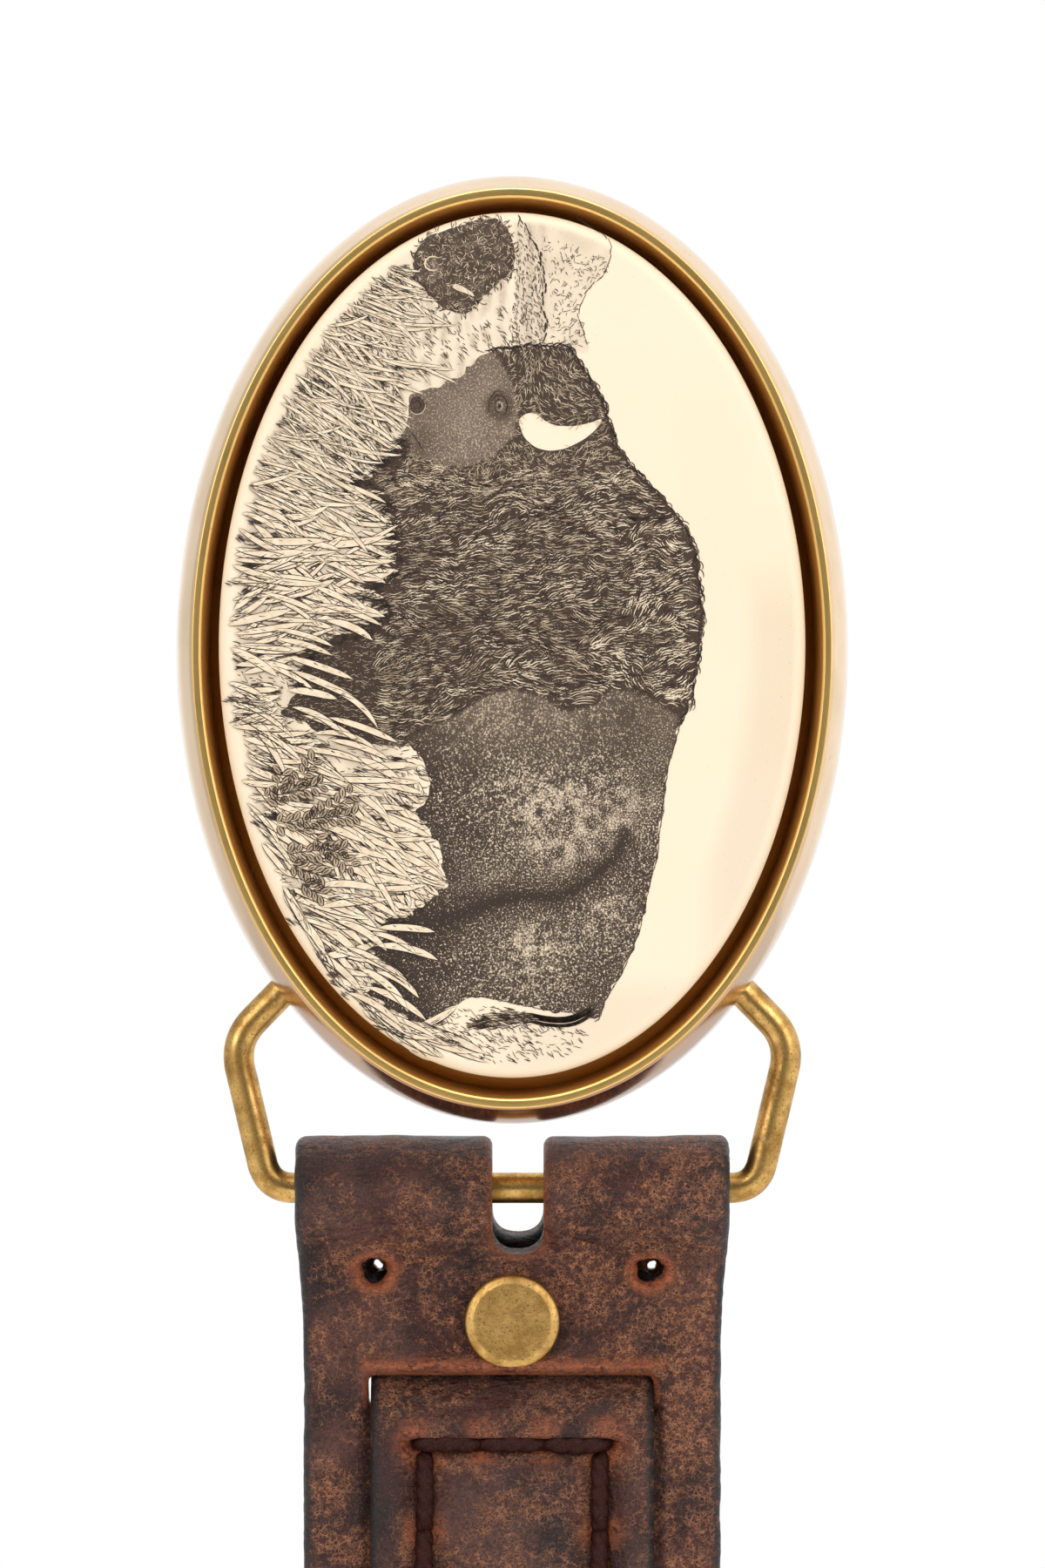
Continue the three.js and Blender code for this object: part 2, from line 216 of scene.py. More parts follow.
def sweep(path, side, radius, sides=24, closed=False, lobes=0, twist=0.0, tip=0.0):
    """A bar along a flat path, whose plane's normal is `side`. `lobes` plies wind round it, turning by
    `twist` per millimetre, and an open bar has ends rounded over `tip`."""
    path = np.asarray(path, float)
    side = np.array(side, float)
    if closed:
        tangent = np.roll(path, -1, axis=0) - np.roll(path, 1, axis=0)
    else:
        tangent = np.gradient(path, axis=0)
    tangent /= np.linalg.norm(tangent, axis=1)[:, None]
    out = np.cross(tangent, side)
    length = lengths_along(path)
    angles = np.linspace(0, TAU, sides, endpoint=False)
    points = []
    for i, centre in enumerate(path):
        r = radius(length[i]) if callable(radius) else radius
        if tip:
            reach = min(length[i], length[-1] - length[i])
            if reach < tip:
                r *= math.sqrt(max(0.02, 1 - (1 - reach / tip) ** 2))
        ply = np.full(sides, r)
        if lobes:
            ply = r * (0.80 + 0.20 * np.abs(np.cos(lobes / 2 * (angles - twist * length[i]))))
        ring = np.outer(np.cos(angles) * ply, out[i]) + np.outer(np.sin(angles) * ply, side)
        points.append(centre + ring)
    points = np.concatenate(points)
    faces = grid_faces(len(path), sides, wrap_rows=closed)
    if not closed:
        faces.append(tuple(reversed(range(sides))))
        faces.append(tuple(len(points) - sides + i for i in range(sides)))
    return points, faces


def outward(obj):
    """Turns a closed mesh's faces outward."""
    work = bmesh.new()
    work.from_mesh(obj.data)
    bmesh.ops.recalc_face_normals(work, faces=work.faces)
    work.to_mesh(obj.data)
    work.free()
    return obj


def smooth_step(value, low, high):
    t = np.clip((np.asarray(value, float) - low) / (high - low), 0, 1)
    return t * t * (3 - 2 * t)


# ------------------------------------------------------------------ shader helpers

def srgb(red, green, blue):
    """A colour given in 0..255 display values, as linear values."""
    def linear(value):
        value /= 255
        return value / 12.92 if value <= 0.04045 else ((value + 0.055) / 1.055) ** 2.4
    return (linear(red), linear(green), linear(blue), 1.0)


class Shader:
    """A Principled material with short calls for its nodes. Textures are scaled per millimetre."""

    def __init__(self, name, **sockets):
        self.material = bpy.data.materials.new(name)
        self.material.use_nodes = True
        self.tree = self.material.node_tree
        self.bsdf = self.tree.nodes["Principled BSDF"]
        for key, value in sockets.items():
            self.bsdf.inputs[key.replace("_", " ")].default_value = value
        place = self.tree.nodes.new("ShaderNodeTexCoord")
        scale = self.node("ShaderNodeVectorMath", {0: place.outputs["Object"]}, operation="SCALE")
        scale.inputs["Scale"].default_value = 1 / MM
        self.mm = scale.outputs[0]

    def node(self, kind, inputs=None, **settings):
        made = self.tree.nodes.new(kind)
        for key, value in settings.items():
            setattr(made, key, value)
        for key, value in (inputs or {}).items():
            if isinstance(value, bpy.types.NodeSocket):
                self.tree.links.new(value, made.inputs[key])
            else:
                made.inputs[key].default_value = value
        return made

    def vector(self, operation, a, b):
        return self.node("ShaderNodeVectorMath", {0: a, 1: b}, operation=operation).outputs[0]

    def stretch(self, vector, by):
        return self.vector("MULTIPLY", vector, by)

    def noise(self, scale, detail=3.0, roughness=0.55, vector=None, distortion=0.0):
        inputs = {"Vector": vector or self.mm, "Scale": scale, "Detail": detail,
                  "Roughness": roughness, "Distortion": distortion}
        return self.node("ShaderNodeTexNoise", inputs).outputs["Fac"]

    def voronoi(self, scale, vector=None, feature="DISTANCE_TO_EDGE"):
        inputs = {"Vector": vector or self.mm, "Scale": scale}
        return self.node("ShaderNodeTexVoronoi", inputs, feature=feature).outputs["Distance"]

    def warp(self, scale, amount):
        """The place in millimetres, pushed about by noise."""
        inputs = {"Vector": self.mm, "Scale": scale, "Detail": 3.0}
        push = self.node("ShaderNodeTexNoise", inputs).outputs["Color"]
        centred = self.vector("SUBTRACT", push, (0.5, 0.5, 0.5))
        return self.vector("ADD", self.mm, self.stretch(centred, (amount, amount, amount)))

    def math(self, operation, a, b=0.0, clamp=False):
        return self.node("ShaderNodeMath", {0: a, 1: b}, operation=operation, use_clamp=clamp).outputs[0]

    def span(self, value, low, high, to_low=0.0, to_high=1.0):
        inputs = {"Value": value, "From Min": low, "From Max": high, "To Min": to_low, "To Max": to_high}
        return self.node("ShaderNodeMapRange", inputs, clamp=True).outputs["Result"]

    def mix(self, factor, a, b):
        made = self.node("ShaderNodeMix", data_type="RGBA")
        for socket, value in ((made.inputs[0], factor), (made.inputs[6], a), (made.inputs[7], b)):
            if isinstance(value, bpy.types.NodeSocket):
                self.tree.links.new(value, socket)
            else:
                socket.default_value = value
        return made.outputs[2]

    def axis(self, name):
        """One coordinate in millimetres."""
        return self.node("ShaderNodeSeparateXYZ", {"Vector": self.mm}).outputs[name]

    def attribute(self, name):
        return self.node("ShaderNodeAttribute", attribute_name=name).outputs["Fac"]

    def bump(self, height, distance, strength=1.0, below=None):
        inputs = {"Height": height, "Distance": distance * MM, "Strength": strength}
        if below is not None:
            inputs["Normal"] = below
        return self.node("ShaderNodeBump", inputs).outputs["Normal"]

    def feed(self, **sockets):
        for key, value in sockets.items():
            self.tree.links.new(value, self.bsdf.inputs[key.replace("_", " ")])
        return self


# ------------------------------------------------------------------ materials

def polished_brass():
    """Mirror brass on the outer wall and bevels, brushed on the land and inside wall, with fine wear, a
    painted reflection low on the outer wall and painted shade deep in the channel.
    """
    s = Shader("polished_brass", Metallic=1.0)
    satin = s.attribute("satin")
    cloud = s.noise(0.16, 4.0)
    specks = s.span(s.noise(2.6, 2.0), 0.70, 0.78)
    # Painted reflection: the outer wall turns brown towards the bottom, standing in for the leather it
    # reflects there.
    low = s.math("POWER", s.span(s.axis("Z"), -6.0, -37.5), 1.5)
    outer = s.mix(low, (0.93, 0.69, 0.44, 1), (0.45, 0.25, 0.15, 1))
    # Painted shade: the inside wall darkens deep in the channel, next to the inlay.
    inner = s.mix(s.attribute("painted_channel_shade"), (0.92, 0.60, 0.20, 1), (0.60, 0.35, 0.11, 1))
    pale = s.mix(satin, outer, inner)
    toned = s.mix(s.span(cloud, 0.45, 0.75, 0.0, 0.35), pale, (0.62, 0.40, 0.15, 1))
    colour = s.mix(s.math("MULTIPLY", specks, 0.6), toned, (0.22, 0.12, 0.05, 1))
    rough = s.math("ADD", s.span(satin, 0.0, 1.0, 0.11, 0.32), s.span(cloud, 0.3, 0.8, 0.0, 0.08))
    rough = s.math("ADD", rough, s.math("MULTIPLY", specks, 0.25))
    hairlines = s.noise(1.0, 5.0, vector=s.stretch(s.mm, (3.0, 14.0, 3.0)))
    normal = s.bump(hairlines, 0.004, 0.5)
    return s.feed(Base_Color=colour, Roughness=rough, Normal=normal).material


def aged_brass(name, rough_low=0.24, rough_high=0.46, grain=0.02, darker=0.0):
    """Worn brass with olive and dark patches, fine pits and light rubbed places."""
    s = Shader(name, Metallic=1.0)
    patch = s.noise(0.45, 5.0, 0.6)
    fine = s.noise(5.0, 4.0, 0.65)
    base = s.mix(s.span(patch, 0.38, 0.62), (0.84, 0.52, 0.17, 1), (0.42, 0.23, 0.06, 1))
    base = s.mix(s.span(fine, 0.55, 0.66, 0.0, 0.80), base, (0.15, 0.075, 0.02, 1))
    base = s.mix(s.span(s.noise(0.9, 3.0), 0.62, 0.75, 0.0, 0.5), base, (0.92, 0.68, 0.34, 1))
    base = s.mix(darker, base, (0.46, 0.26, 0.09, 1))
    rough = s.span(patch, 0.3, 0.7, rough_low, rough_high)
    normal = s.bump(fine, grain, 0.6)
    return s.feed(Base_Color=base, Roughness=rough, Normal=normal).material


def ivory_resin():
    """Cream resin with stippled ink, whose density is the mesh's tone attribute."""
    s = Shader("ivory_resin", IOR=1.40, Roughness=0.50)
    tone = s.attribute("tone")
    cream = s.mix(s.span(s.noise(0.05, 2.0), 0.35, 0.65), srgb(254, 234, 207), srgb(252, 231, 201))
    light = s.math("POWER", s.math("SUBTRACT", 1.0, tone, clamp=True), 1.9)
    wash = s.mix(light, srgb(96, 75, 60), cream)
    grain = s.noise(6.6, 2.0, 0.6)
    grainy = s.attribute("grainy")
    dark_limit = s.span(tone, 0.0, 1.0, 0.26, 0.70)
    dots = s.span(s.math("SUBTRACT", dark_limit, grain), 0.0, 0.05)
    inked = s.math("MULTIPLY", dots, s.span(grainy, 0.0, 1.0, 0.25, 0.85))
    inked = s.mix(inked, wash, srgb(47, 37, 31))
    pale_limit = s.span(tone, 0.0, 1.0, 0.44, 0.665)
    bare = s.span(s.math("SUBTRACT", grain, pale_limit), 0.0, 0.05)
    bare = s.math("MULTIPLY", bare, s.span(tone, 0.05, 0.3))
    bare = s.math("MULTIPLY", bare, s.span(grainy, 0.0, 1.0, 0.22, 0.9))
    inked = s.mix(bare, inked, srgb(236, 216, 185))
    return s.feed(Base_Color=inked).material


def line_colour(name, one, other):
    """A plain drawn line that varies a little between two colours."""
    s = Shader(name, Roughness=0.55, IOR=1.4)
    return s.feed(Base_Color=s.mix(s.span(s.noise(1.2, 2.0), 0.35, 0.65), one, other)).material


def leather(name, lift=1.0, dark=0.17):
    """Distressed red-brown leather: smooth and dark, crackled in places of wear, with patches of painted
    sheen, painted and raw edges, painted shade inside the fold and a painted highlight on the slit's lip.
    """
    s = Shader(name, IOR=1.36)
    s.bsdf.inputs["Coat Weight"].default_value = 0.34
    s.bsdf.inputs["Coat Roughness"].default_value = 0.13
    cloud = s.noise(0.13, 5.0, 0.62)
    right = s.span(s.axis("X"), -12.0, 18.0, -0.035, 0.07)
    # A mask of the places where the leather is worn, more of them towards the right.
    wear_and_shade = s.math("ADD", s.noise(0.21, 6.0, 0.70, distortion=0.4), right)
    grain = s.noise(3.4, 5.0, 0.72)
    flecks = s.noise(6.0, 4.0, 0.70)
    base = s.mix(s.span(cloud, 0.38, 0.62), srgb(30, 7, 6), srgb(84, 35, 27))
    # Painted sheen: pinkish-grey patches standing in for the lamps' reflection on the glossy leather.
    base = s.mix(s.span(s.noise(0.11, 3.0, 0.6), 0.50, 0.64, 0.0, 0.50), base, srgb(134, 88, 76))
    base = s.mix(s.span(wear_and_shade, 0.50, 0.66, 0.0, 0.40), base, srgb(134, 70, 48))
    base = s.mix(s.span(grain, 0.46, 0.58, 0.0, 0.60), base, srgb(24, 5, 4))
    base = s.mix(s.span(flecks, 0.54, 0.66, 0.0, 0.50), base, srgb(176, 108, 80))
    coarse = s.span(s.voronoi(1.7, s.warp(1.4, 0.8)), 0.0, 0.095, 1.0, 0.0)
    fine = s.span(s.voronoi(3.2, s.warp(2.8, 0.5)), 0.0, 0.15, 1.0, 0.0)
    coarse = s.math("MULTIPLY", coarse, s.span(wear_and_shade, 0.40, 0.55))
    fine = s.math("MULTIPLY", fine, s.span(wear_and_shade, 0.45, 0.58))
    broken = s.span(s.noise(1.2, 5.0, 0.75), 0.42, 0.53)
    vein = s.math("MULTIPLY", s.math("MAXIMUM", coarse, fine), broken)
    base = s.mix(s.math("MULTIPLY", vein, 0.95), base, srgb(236, 158, 112))
    base = s.mix(dark, base, srgb(20, 4, 3))
    # Raw orange-brown: cut leather at holes, the slit and torn stitch holes, and a painted highlight along
    # the top of the slit's lip.
    raw_and_highlight = s.math("MULTIPLY", s.attribute("raw_and_highlight"), s.span(s.noise(1.8, 5.0, 0.75), 0.40, 0.54, 0.10, 1.0))
    base = s.mix(raw_and_highlight, base, srgb(186, 102, 62))
    # Near-black: edge paint on the outer edges, and painted shade on the inside of the fold behind the tongue
    # slot.
    edge_paint_and_shade = s.math("MULTIPLY", s.attribute("edge_paint_and_shade"), s.span(s.noise(0.9, 4.0, 0.7), 0.36, 0.50, 0.35, 1.0))
    base = s.mix(edge_paint_and_shade, base, srgb(24, 15, 14))
    rough = s.math("ADD", s.span(cloud, 0.3, 0.7, 0.25, 0.40), s.math("MULTIPLY", vein, 0.25))
    height = s.math("SUBTRACT", s.math("MULTIPLY", grain, 0.8), s.math("MULTIPLY", vein, 0.5))
    normal = s.bump(height, 0.34 * lift, 1.0)
    creases = s.noise(0.8, 4.0, 0.62, vector=s.stretch(s.mm, (0.55, 0.55, 1.5)))
    normal = s.bump(creases, 0.9 * lift, 1.0, below=normal)
    s.tree.links.new(normal, s.bsdf.inputs["Coat Normal"])
    return s.feed(Base_Color=base, Roughness=rough, Normal=normal).material


def waxed_thread():
    s = Shader("waxed_thread", Roughness=0.5, IOR=1.25)
    fibre = s.noise(5.0, 4.0, 0.65)
    colour = s.mix(s.span(fibre, 0.35, 0.7), srgb(26, 8, 6), srgb(70, 30, 21))
    return s.feed(Base_Color=colour, Normal=s.bump(fibre, 0.10, 0.9)).material


def adhesive():
    s = Shader("adhesive", Roughness=0.6)
    colour = s.mix(s.noise(1.2), srgb(190, 178, 150), srgb(168, 150, 118))
    return s.feed(Base_Color=colour).material


BRASS = polished_brass()
AGED = aged_brass("aged_brass", darker=0.05)
CAP_BRASS = aged_brass("cap_brass", 0.26, 0.44, 0.07, 0.18)
IVORY = ivory_resin()
INK = line_colour("engraving_ink", srgb(42, 33, 28), srgb(80, 62, 50))
TAN = line_colour("engraving_tan", srgb(168, 146, 120), srgb(196, 174, 144))
BARE = line_colour("engraving_bare", srgb(248, 229, 200), srgb(230, 208, 177))
LEATHER = leather("belt_leather")
OVERLAY_LEATHER = leather("overlay_leather", 1.2, 0.32)
THREAD = waxed_thread()
GLUE = adhesive()


# ------------------------------------------------------------------ the oval

BEZEL_SEGMENTS = 320


def spaced(line, spacing):
    """The closed line with points added along its long sides, so that the shading stays even."""
    dense = []
    for i, point in enumerate(line):
        step = line[(i + 1) % len(line)] - point
        pieces = max(1, int(np.linalg.norm(step) / spacing))
        dense += [point + step * k / pieces for k in range(pieces)]
    return dense


def bezel():
    ledge_y, ledge_in, foot = -3.9, 23.0, 25.95
    plate_y = PLATE_LOW[1] - 0.05
    seat = PLATE_HIGH[0] + 0.3
    corners = [
        (foot, ledge_y), (26.85, FACE_Y + 0.16), (27.02, FACE_Y), (27.60, FACE_Y), (27.88, FACE_Y + 0.30),
        (HALF_WIDE - 0.30, -4.3), (HALF_WIDE, -0.75), (HALF_WIDE - 0.10, -0.22), (HALF_WIDE - 0.5, 0.0),
        (seat, 0.0), (seat, plate_y), (ledge_in, plate_y), (ledge_in, ledge_y), (foot, ledge_y),
    ]
    reach = [0.06, 0.08, 0.09, 0.07, 1.5, 0.25, 0.16, 0.16, 0.1, 0.05, 0.05, 0.2]
    dense = spaced(rounded(corners, reach, 4)[:-1], 0.9)
    points = oval_rings([(a, y, 1.0) for a, y in dense], BEZEL_SEGMENTS)
    satin = np.array([a < 27.65 and y < -1.5 for a, y in dense], float)
    # Painted shade for the inside wall, strongest deep in the channel next to the inlay.
    painted_channel_shade = np.array([smooth_step(y, FACE_Y + 0.5, FACE_Y + 2.2) for a, y in dense])
    wear_and_shade = {"satin": np.repeat(satin, BEZEL_SEGMENTS), "painted_channel_shade": np.repeat(painted_channel_shade, BEZEL_SEGMENTS)}
    obj = make_mesh("bezel", points, grid_faces(len(dense), BEZEL_SEGMENTS, wrap_rows=True), wear_and_shade)
    return finish_piece(outward(obj), "buckle", "polished_brass", BRASS, "bezel_frame")


def oval_disc(name, profile, segments):
    points = oval_rings(profile, segments)
    faces = grid_faces(len(profile), segments) + end_fans(len(points), len(profile), segments)
    points = np.concatenate([points, [(0, profile[0][1], 0), (0, profile[-1][1], 0)]])
    return outward(make_mesh(name, points, faces))


def rear_plate():
    wide = PLATE_HIGH[0]
    corners = [(wide, PLATE_LOW[1]), (wide, PLATE_HIGH[1]), (wide - 2.0, PLATE_HIGH[1])]
    edge = rounded(corners, 0.3, 6)
    profile = [(a, y, 1.0) for a, y in edge]
    profile += [(wide - 2.0, PLATE_HIGH[1], k) for k in (0.9, 0.7, 0.5, 0.3, 0.1)]
    profile = [(wide, PLATE_LOW[1], k) for k in (0.3, 0.7)] + profile
    return finish_piece(oval_disc("rear_plate", profile, 200), "buckle", "aged_brass", AGED, "back_plate")


def glue_bed():
    low, high = box_mm("inlay_adhesive")
    profile = [(high[0], low[1], 0.5), (high[0] - 0.1, low[1], 1.0), (high[0], (low[1] + high[1]) / 2, 1.0),
               (high[0] - 0.1, high[1], 1.0), (high[0], high[1], 0.5)]
    return finish_piece(oval_disc("glue_bed", profile, 120), "buckle", "adhesive", GLUE, "inlay_adhesive")


# ------------------------------------------------------------------ hinge, hook and bail

TUBE_OUTER = (TUBE_HIGH[1] - TUBE_LOW[1]) / 2


def hinge_tube():
    half = TUBE_HIGH[0]
    outer = TUBE_OUTER
    inner = outer - 0.55
    profile = rounded([(inner, 0), (inner, -half), (outer, -half), (outer, 0)], 0.14, 3)
    far = [(r, -a) for r, a in reversed(profile[1:-1])]
    points, faces = lathe(list(profile[1:-1]) + far, 64, (0, BAIL_Y, HINGE_Z), "x")
    tube = outward(make_mesh("hinge_tube", points, faces))
    finish_piece(tube, "buckle", "aged_brass", AGED, "bail_tube")


def saddle_section():
    """A block with a round hollow for the tube and softened shoulders, as (z, y)."""
    tall, top, hollow = SADDLE_HIGH[2] - HINGE_Z, SADDLE_HIGH[1], TUBE_OUTER + 0.3
    rim = math.acos((BAIL_Y - top) / hollow)
    arc = [(HINGE_Z + hollow * math.sin(a), BAIL_Y - hollow * math.cos(a))
           for a in np.linspace(rim, -rim, 24)]
    block = rounded([(HINGE_Z, 0), (HINGE_Z + tall, 0), (HINGE_Z + tall, top), arc[0]], [0.1, 0.5], 5)
    mirror = [(2 * HINGE_Z - z, y) for z, y in reversed(block[1:])]
    return list(map(tuple, block[1:])) + arc[1:-1] + mirror


def hinge_saddle():
    section = saddle_section()
    ends = []
    length, chamfer = SADDLE_HIGH[0], 0.12
    for x, shrink in ((-length, chamfer), (-length + chamfer, 0), (length - chamfer, 0), (length, chamfer)):
        for z, y in section:
            ends.append((x, max(0.0, y - shrink) if y > 0.3 else y, z - math.copysign(shrink, z - HINGE_Z)))
    count = len(section)
    faces = grid_faces(4, count)
    faces.append(tuple(range(count)))
    faces.append(tuple(reversed(range(3 * count, 4 * count))))
    saddle = outward(make_mesh("hinge_saddle", ends, faces))
    finish_piece(saddle, "buckle", "aged_brass", AGED, "tube_saddle")


def hook():
    z, tip_y, tip_z = 21.0, 8.6, 28.5
    radius, foot = 1.6, HOOK_HIGH[0]
    line = resample(rounded([(0, 0.3, z), (0, 5.0, z), (0, tip_y, tip_z)], 2.4, 16), 70)
    reach = line[-1] + (line[-1] - line[-2]) / np.linalg.norm(line[-1] - line[-2]) * radius
    line = np.concatenate([line, resample([line[-1], reach], 14)[1:]])
    total = total_length(line)

    def taper(at):
        flare = 0.9 * math.exp(-((at / 0.55) ** 2)) if at < 2 else 0.0
        left = total - at
        end = math.sqrt(max(0.01, 1 - (1 - left / radius) ** 2)) if left < radius else 1.0
        return (radius + flare) * end

    points, faces = sweep(line, (1, 0, 0), taper, 32)
    post = outward(make_mesh("hook_post", points, faces))
    finish_piece(post, "buckle", "aged_brass", AGED, "belt_hook")
    edge = rounded([(0, 0.0), (foot, 0.0), (foot, 1.0), (0, 1.0)], 0.25, 5)
    points, faces = lathe(edge, 64, (0, 0, z), "y")
    finish_piece(outward(make_mesh("hook_foot", points, faces)), "buckle", "aged_brass", AGED)


def bail():
    half = [(0.8, HINGE_Z), (16.4, HINGE_Z), (24.5, -34.3), (21.45, BAR_Z)]
    route = [(-x, BAIL_Y, z) for x, z in half] + [(x, BAIL_Y, z) for x, z in reversed(half)]
    path = resample(rounded(route, [1.8, 2.6, 2.3, 2.3, 2.6, 1.8], 14), 520)

    def radius(at):
        return WIRE_RADIUS * (0.992 + 0.008 * noise.noise(Vector((at * 0.5, 3.1, 0))))

    points, faces = sweep(path, (0, 1, 0), radius, 28, tip=0.5)
    return finish_piece(outward(make_mesh("bail", points, faces)), "bail", "aged_brass", AGED, "bail_wire")


bezel()
rear_plate()
glue_bed()
hinge_tube()
hinge_saddle()
hook()
bail()


# ------------------------------------------------------------------ leather sheets

class CentreLine:
    """The bent middle of a sheet in the (y, z) plane, by distance along it, with its outer normal."""

    def __init__(self, points):
        fine = resample(points, 1600)
        self.place = fine
        step = np.gradient(fine, axis=0)
        step /= np.linalg.norm(step, axis=1)[:, None]
        self.normal = np.stack([-step[:, 1], step[:, 0]], axis=1)
        self.along = lengths_along(fine)
        self.length = self.along[-1]

    def at(self, distance):
        columns = [np.interp(distance, self.along, column) for column in (*self.place.T, *self.normal.T)]
        return np.stack(columns[:2], axis=1), np.stack(columns[2:], axis=1)

    def where(self, z, last=False):
        """Distance along the line at which it passes height z, on its first or last pass."""
        above = self.place[:, 1] - z
        passes = np.nonzero(np.diff(np.sign(above)))[0]
        return float(self.along[passes[-1 if last else 0]])


def bezier(p0, p1, p2, p3, count=24):
    t = np.linspace(0, 1, count)[:, None]
    s = 1 - t
    p0, p1, p2, p3 = (np.array(p, float) for p in (p0, p1, p2, p3))
    return s ** 3 * p0 + 3 * t * s ** 2 * p1 + 3 * t * t * s * p2 + t ** 3 * p3


def belt_line():
    front, rear = BAIL_Y - FOLD_RADIUS, BAIL_Y + FOLD_RADIUS
    angles = np.linspace(math.pi, 0, 40)
    turn = np.stack([np.cos(angles), np.sin(angles)], axis=1)
    arc = (BAIL_Y, BAR_Z) + FOLD_RADIUS * turn
    return CentreLine(np.concatenate([
        [(BELT_PLANE, BELT_LOW[2])],
        bezier((BELT_PLANE, -54.2), (BELT_PLANE, -51.4), (front, -50.4), (front, BAR_Z))[:-1],
        arc[:-1],
        bezier((rear, BAR_Z), (rear, -49.6), (FLAP_PLANE, -51), (FLAP_PLANE, FLAP_FROM)),
        [(FLAP_PLANE, FLAP_END)],
    ]))


def overlay_line():
    bend = bezier((OVERLAY_BEHIND, OVERLAY_IN), (OVERLAY_BEHIND, -64.2),
                  (OVERLAY_BEFORE, -65.0), (OVERLAY_BEFORE, OVERLAY_OUT))
    foot, head = (OVERLAY_BEFORE, OVERLAY_LOW[2]), (OVERLAY_BEHIND, OVERLAY_HIGH[2])
    return CentreLine(np.concatenate([[foot], bend[::-1], [head]]))


def loop_points(corners, reach, spacing):
    """A closed outline with rounded corners, evenly spaced."""
    corners = [np.array(c, float) for c in corners]
    start = (corners[-1] + corners[0]) / 2
    line = rounded([start, *corners, start], reach, 8)
    return resample(line, max(12, int(total_length(line) / spacing)) + 1)[:-1]


def circle_points(radius, centre, spacing):
    angles = np.linspace(0, TAU, max(16, int(TAU * radius / spacing)), endpoint=False)
    return np.array(centre) + radius * np.stack([np.cos(angles), np.sin(angles)], axis=1)


def inside(loop, points):
    """Which points lie inside a closed loop."""
    x, y = points[:, 0], points[:, 1]
    result = np.zeros(len(points), bool)
    for (x0, y0), (x1, y1) in zip(loop, np.roll(loop, -1, axis=0)):
        crosses = (y0 > y) != (y1 > y)
        if y1 != y0:
            result ^= crosses & (x < (x1 - x0) * (y - y0) / (y1 - y0) + x0)
    return result


def nearest(samples, points):
    """Distance from each flat point to the nearest of the samples."""
    tree = KDTree(len(samples))
    for i, (a, b) in enumerate(samples):
        tree.insert((a, b, 0), i)
    tree.balance()
    return np.array([tree.find((a, b, 0))[2] for a, b in points])


def distance_to(loops, points, step=0.05):
    """Distance from each point to the nearest of the closed loops."""
    samples = []
    for loop in loops:
        closed = np.concatenate([loop, loop[:1]])
        samples.append(resample(closed, int(total_length(closed) / step)))
    return nearest(np.concatenate(samples), points)


def inset(loop, amount):
    """The loop moved to its left by an amount; outlines run anticlockwise and holes clockwise."""
    tangent = np.roll(loop, -1, axis=0) - np.roll(loop, 1, axis=0)
    tangent /= np.linalg.norm(tangent, axis=1)[:, None]
    return loop + np.stack([-tangent[:, 1], tangent[:, 0]], axis=1) * amount


def turned(loop, anticlockwise):
    x, y = loop[:, 0], loop[:, 1]
    area = np.sum(x * np.roll(y, -1) - np.roll(x, -1) * y)
    return loop if (area > 0) == anticlockwise else loop[::-1]


def within_loops(loops, points):
    """Which points lie inside the first loop and outside all the others."""
    keep = inside(loops[0], points)
    for hole in loops[1:]:
        keep &= ~inside(hole, points)
    return keep


def triangulated(loops, points, edges, grid, clear, tolerance):
    """Flat points and triangles that fill the loops, without grid points nearer than `clear` to a loop."""
    grid = grid[within_loops(loops, grid)]
    grid = grid[distance_to(loops, grid) > clear]
    points = np.array(points + grid.tolist())
    flat, _, triangles, *_ = delaunay_2d_cdt([Vector(p) for p in points.tolist()], edges, [], 0, tolerance)
    flat = np.array([tuple(p) for p in flat])
    triangles = np.array([t for t in triangles if len(t) == 3])
    triangles = triangles[within_loops(loops, flat[triangles].mean(axis=1))]
    used = np.unique(triangles)
    number = np.full(len(flat), -1)
    number[used] = np.arange(len(used))
    return flat[used], number[triangles]


def ring_edges(first, count):
    return [(first + i, first + (i + 1) % count) for i in range(count)]


def closed_sides(triangles, count):
    """Faces of a slab: the triangles, the same triangles again `count` points on, and its sides."""
    faces = [tuple(t) for t in triangles.tolist()]
    faces += [(a + count, c + count, b + count) for a, b, c in triangles.tolist()]
    once = {}
    for a, b, c in triangles.tolist():
        for edge in ((a, b), (b, c), (c, a)):
            if (edge[1], edge[0]) in once:
                del once[(edge[1], edge[0])]
            else:
                once[edge] = True
    return faces + [(b, a, a + count, b + count) for a, b in once]


EDGE_RISES = (0.0, 0.06, 0.22, 0.48, 0.82)  # rows of points on a rounded edge, as parts of its width


def staggered_grid(low, high, spacing):
    """Points in rows, every other row moved by half a space."""
    pitch = spacing * 0.866
    grid = []
    for r in range(int((high[1] - low[1]) / pitch) + 1):
        xs = np.arange(low[0] + (spacing / 2 if r % 2 else 0.0), high[0], spacing)
        grid.append(np.stack([xs, np.full(len(xs), low[1] + r * spacing * 0.866)], axis=1))
    return np.concatenate(grid)


def sheet_flat(loops, spacing, edge):
    """The sheet's flat points and triangles, with rows of points along its edges."""
    points, edges = [], []
    for loop in loops:
        edges += ring_edges(len(points), len(loop))
        for rise in EDGE_RISES:
            points += inset(loop, rise * edge).tolist()
    grid = staggered_grid(loops[0].min(axis=0), loops[0].max(axis=0), spacing)
    return triangulated(loops, points, edges, grid, edge * EDGE_RISES[-1] + spacing * 0.45, 1e-5)


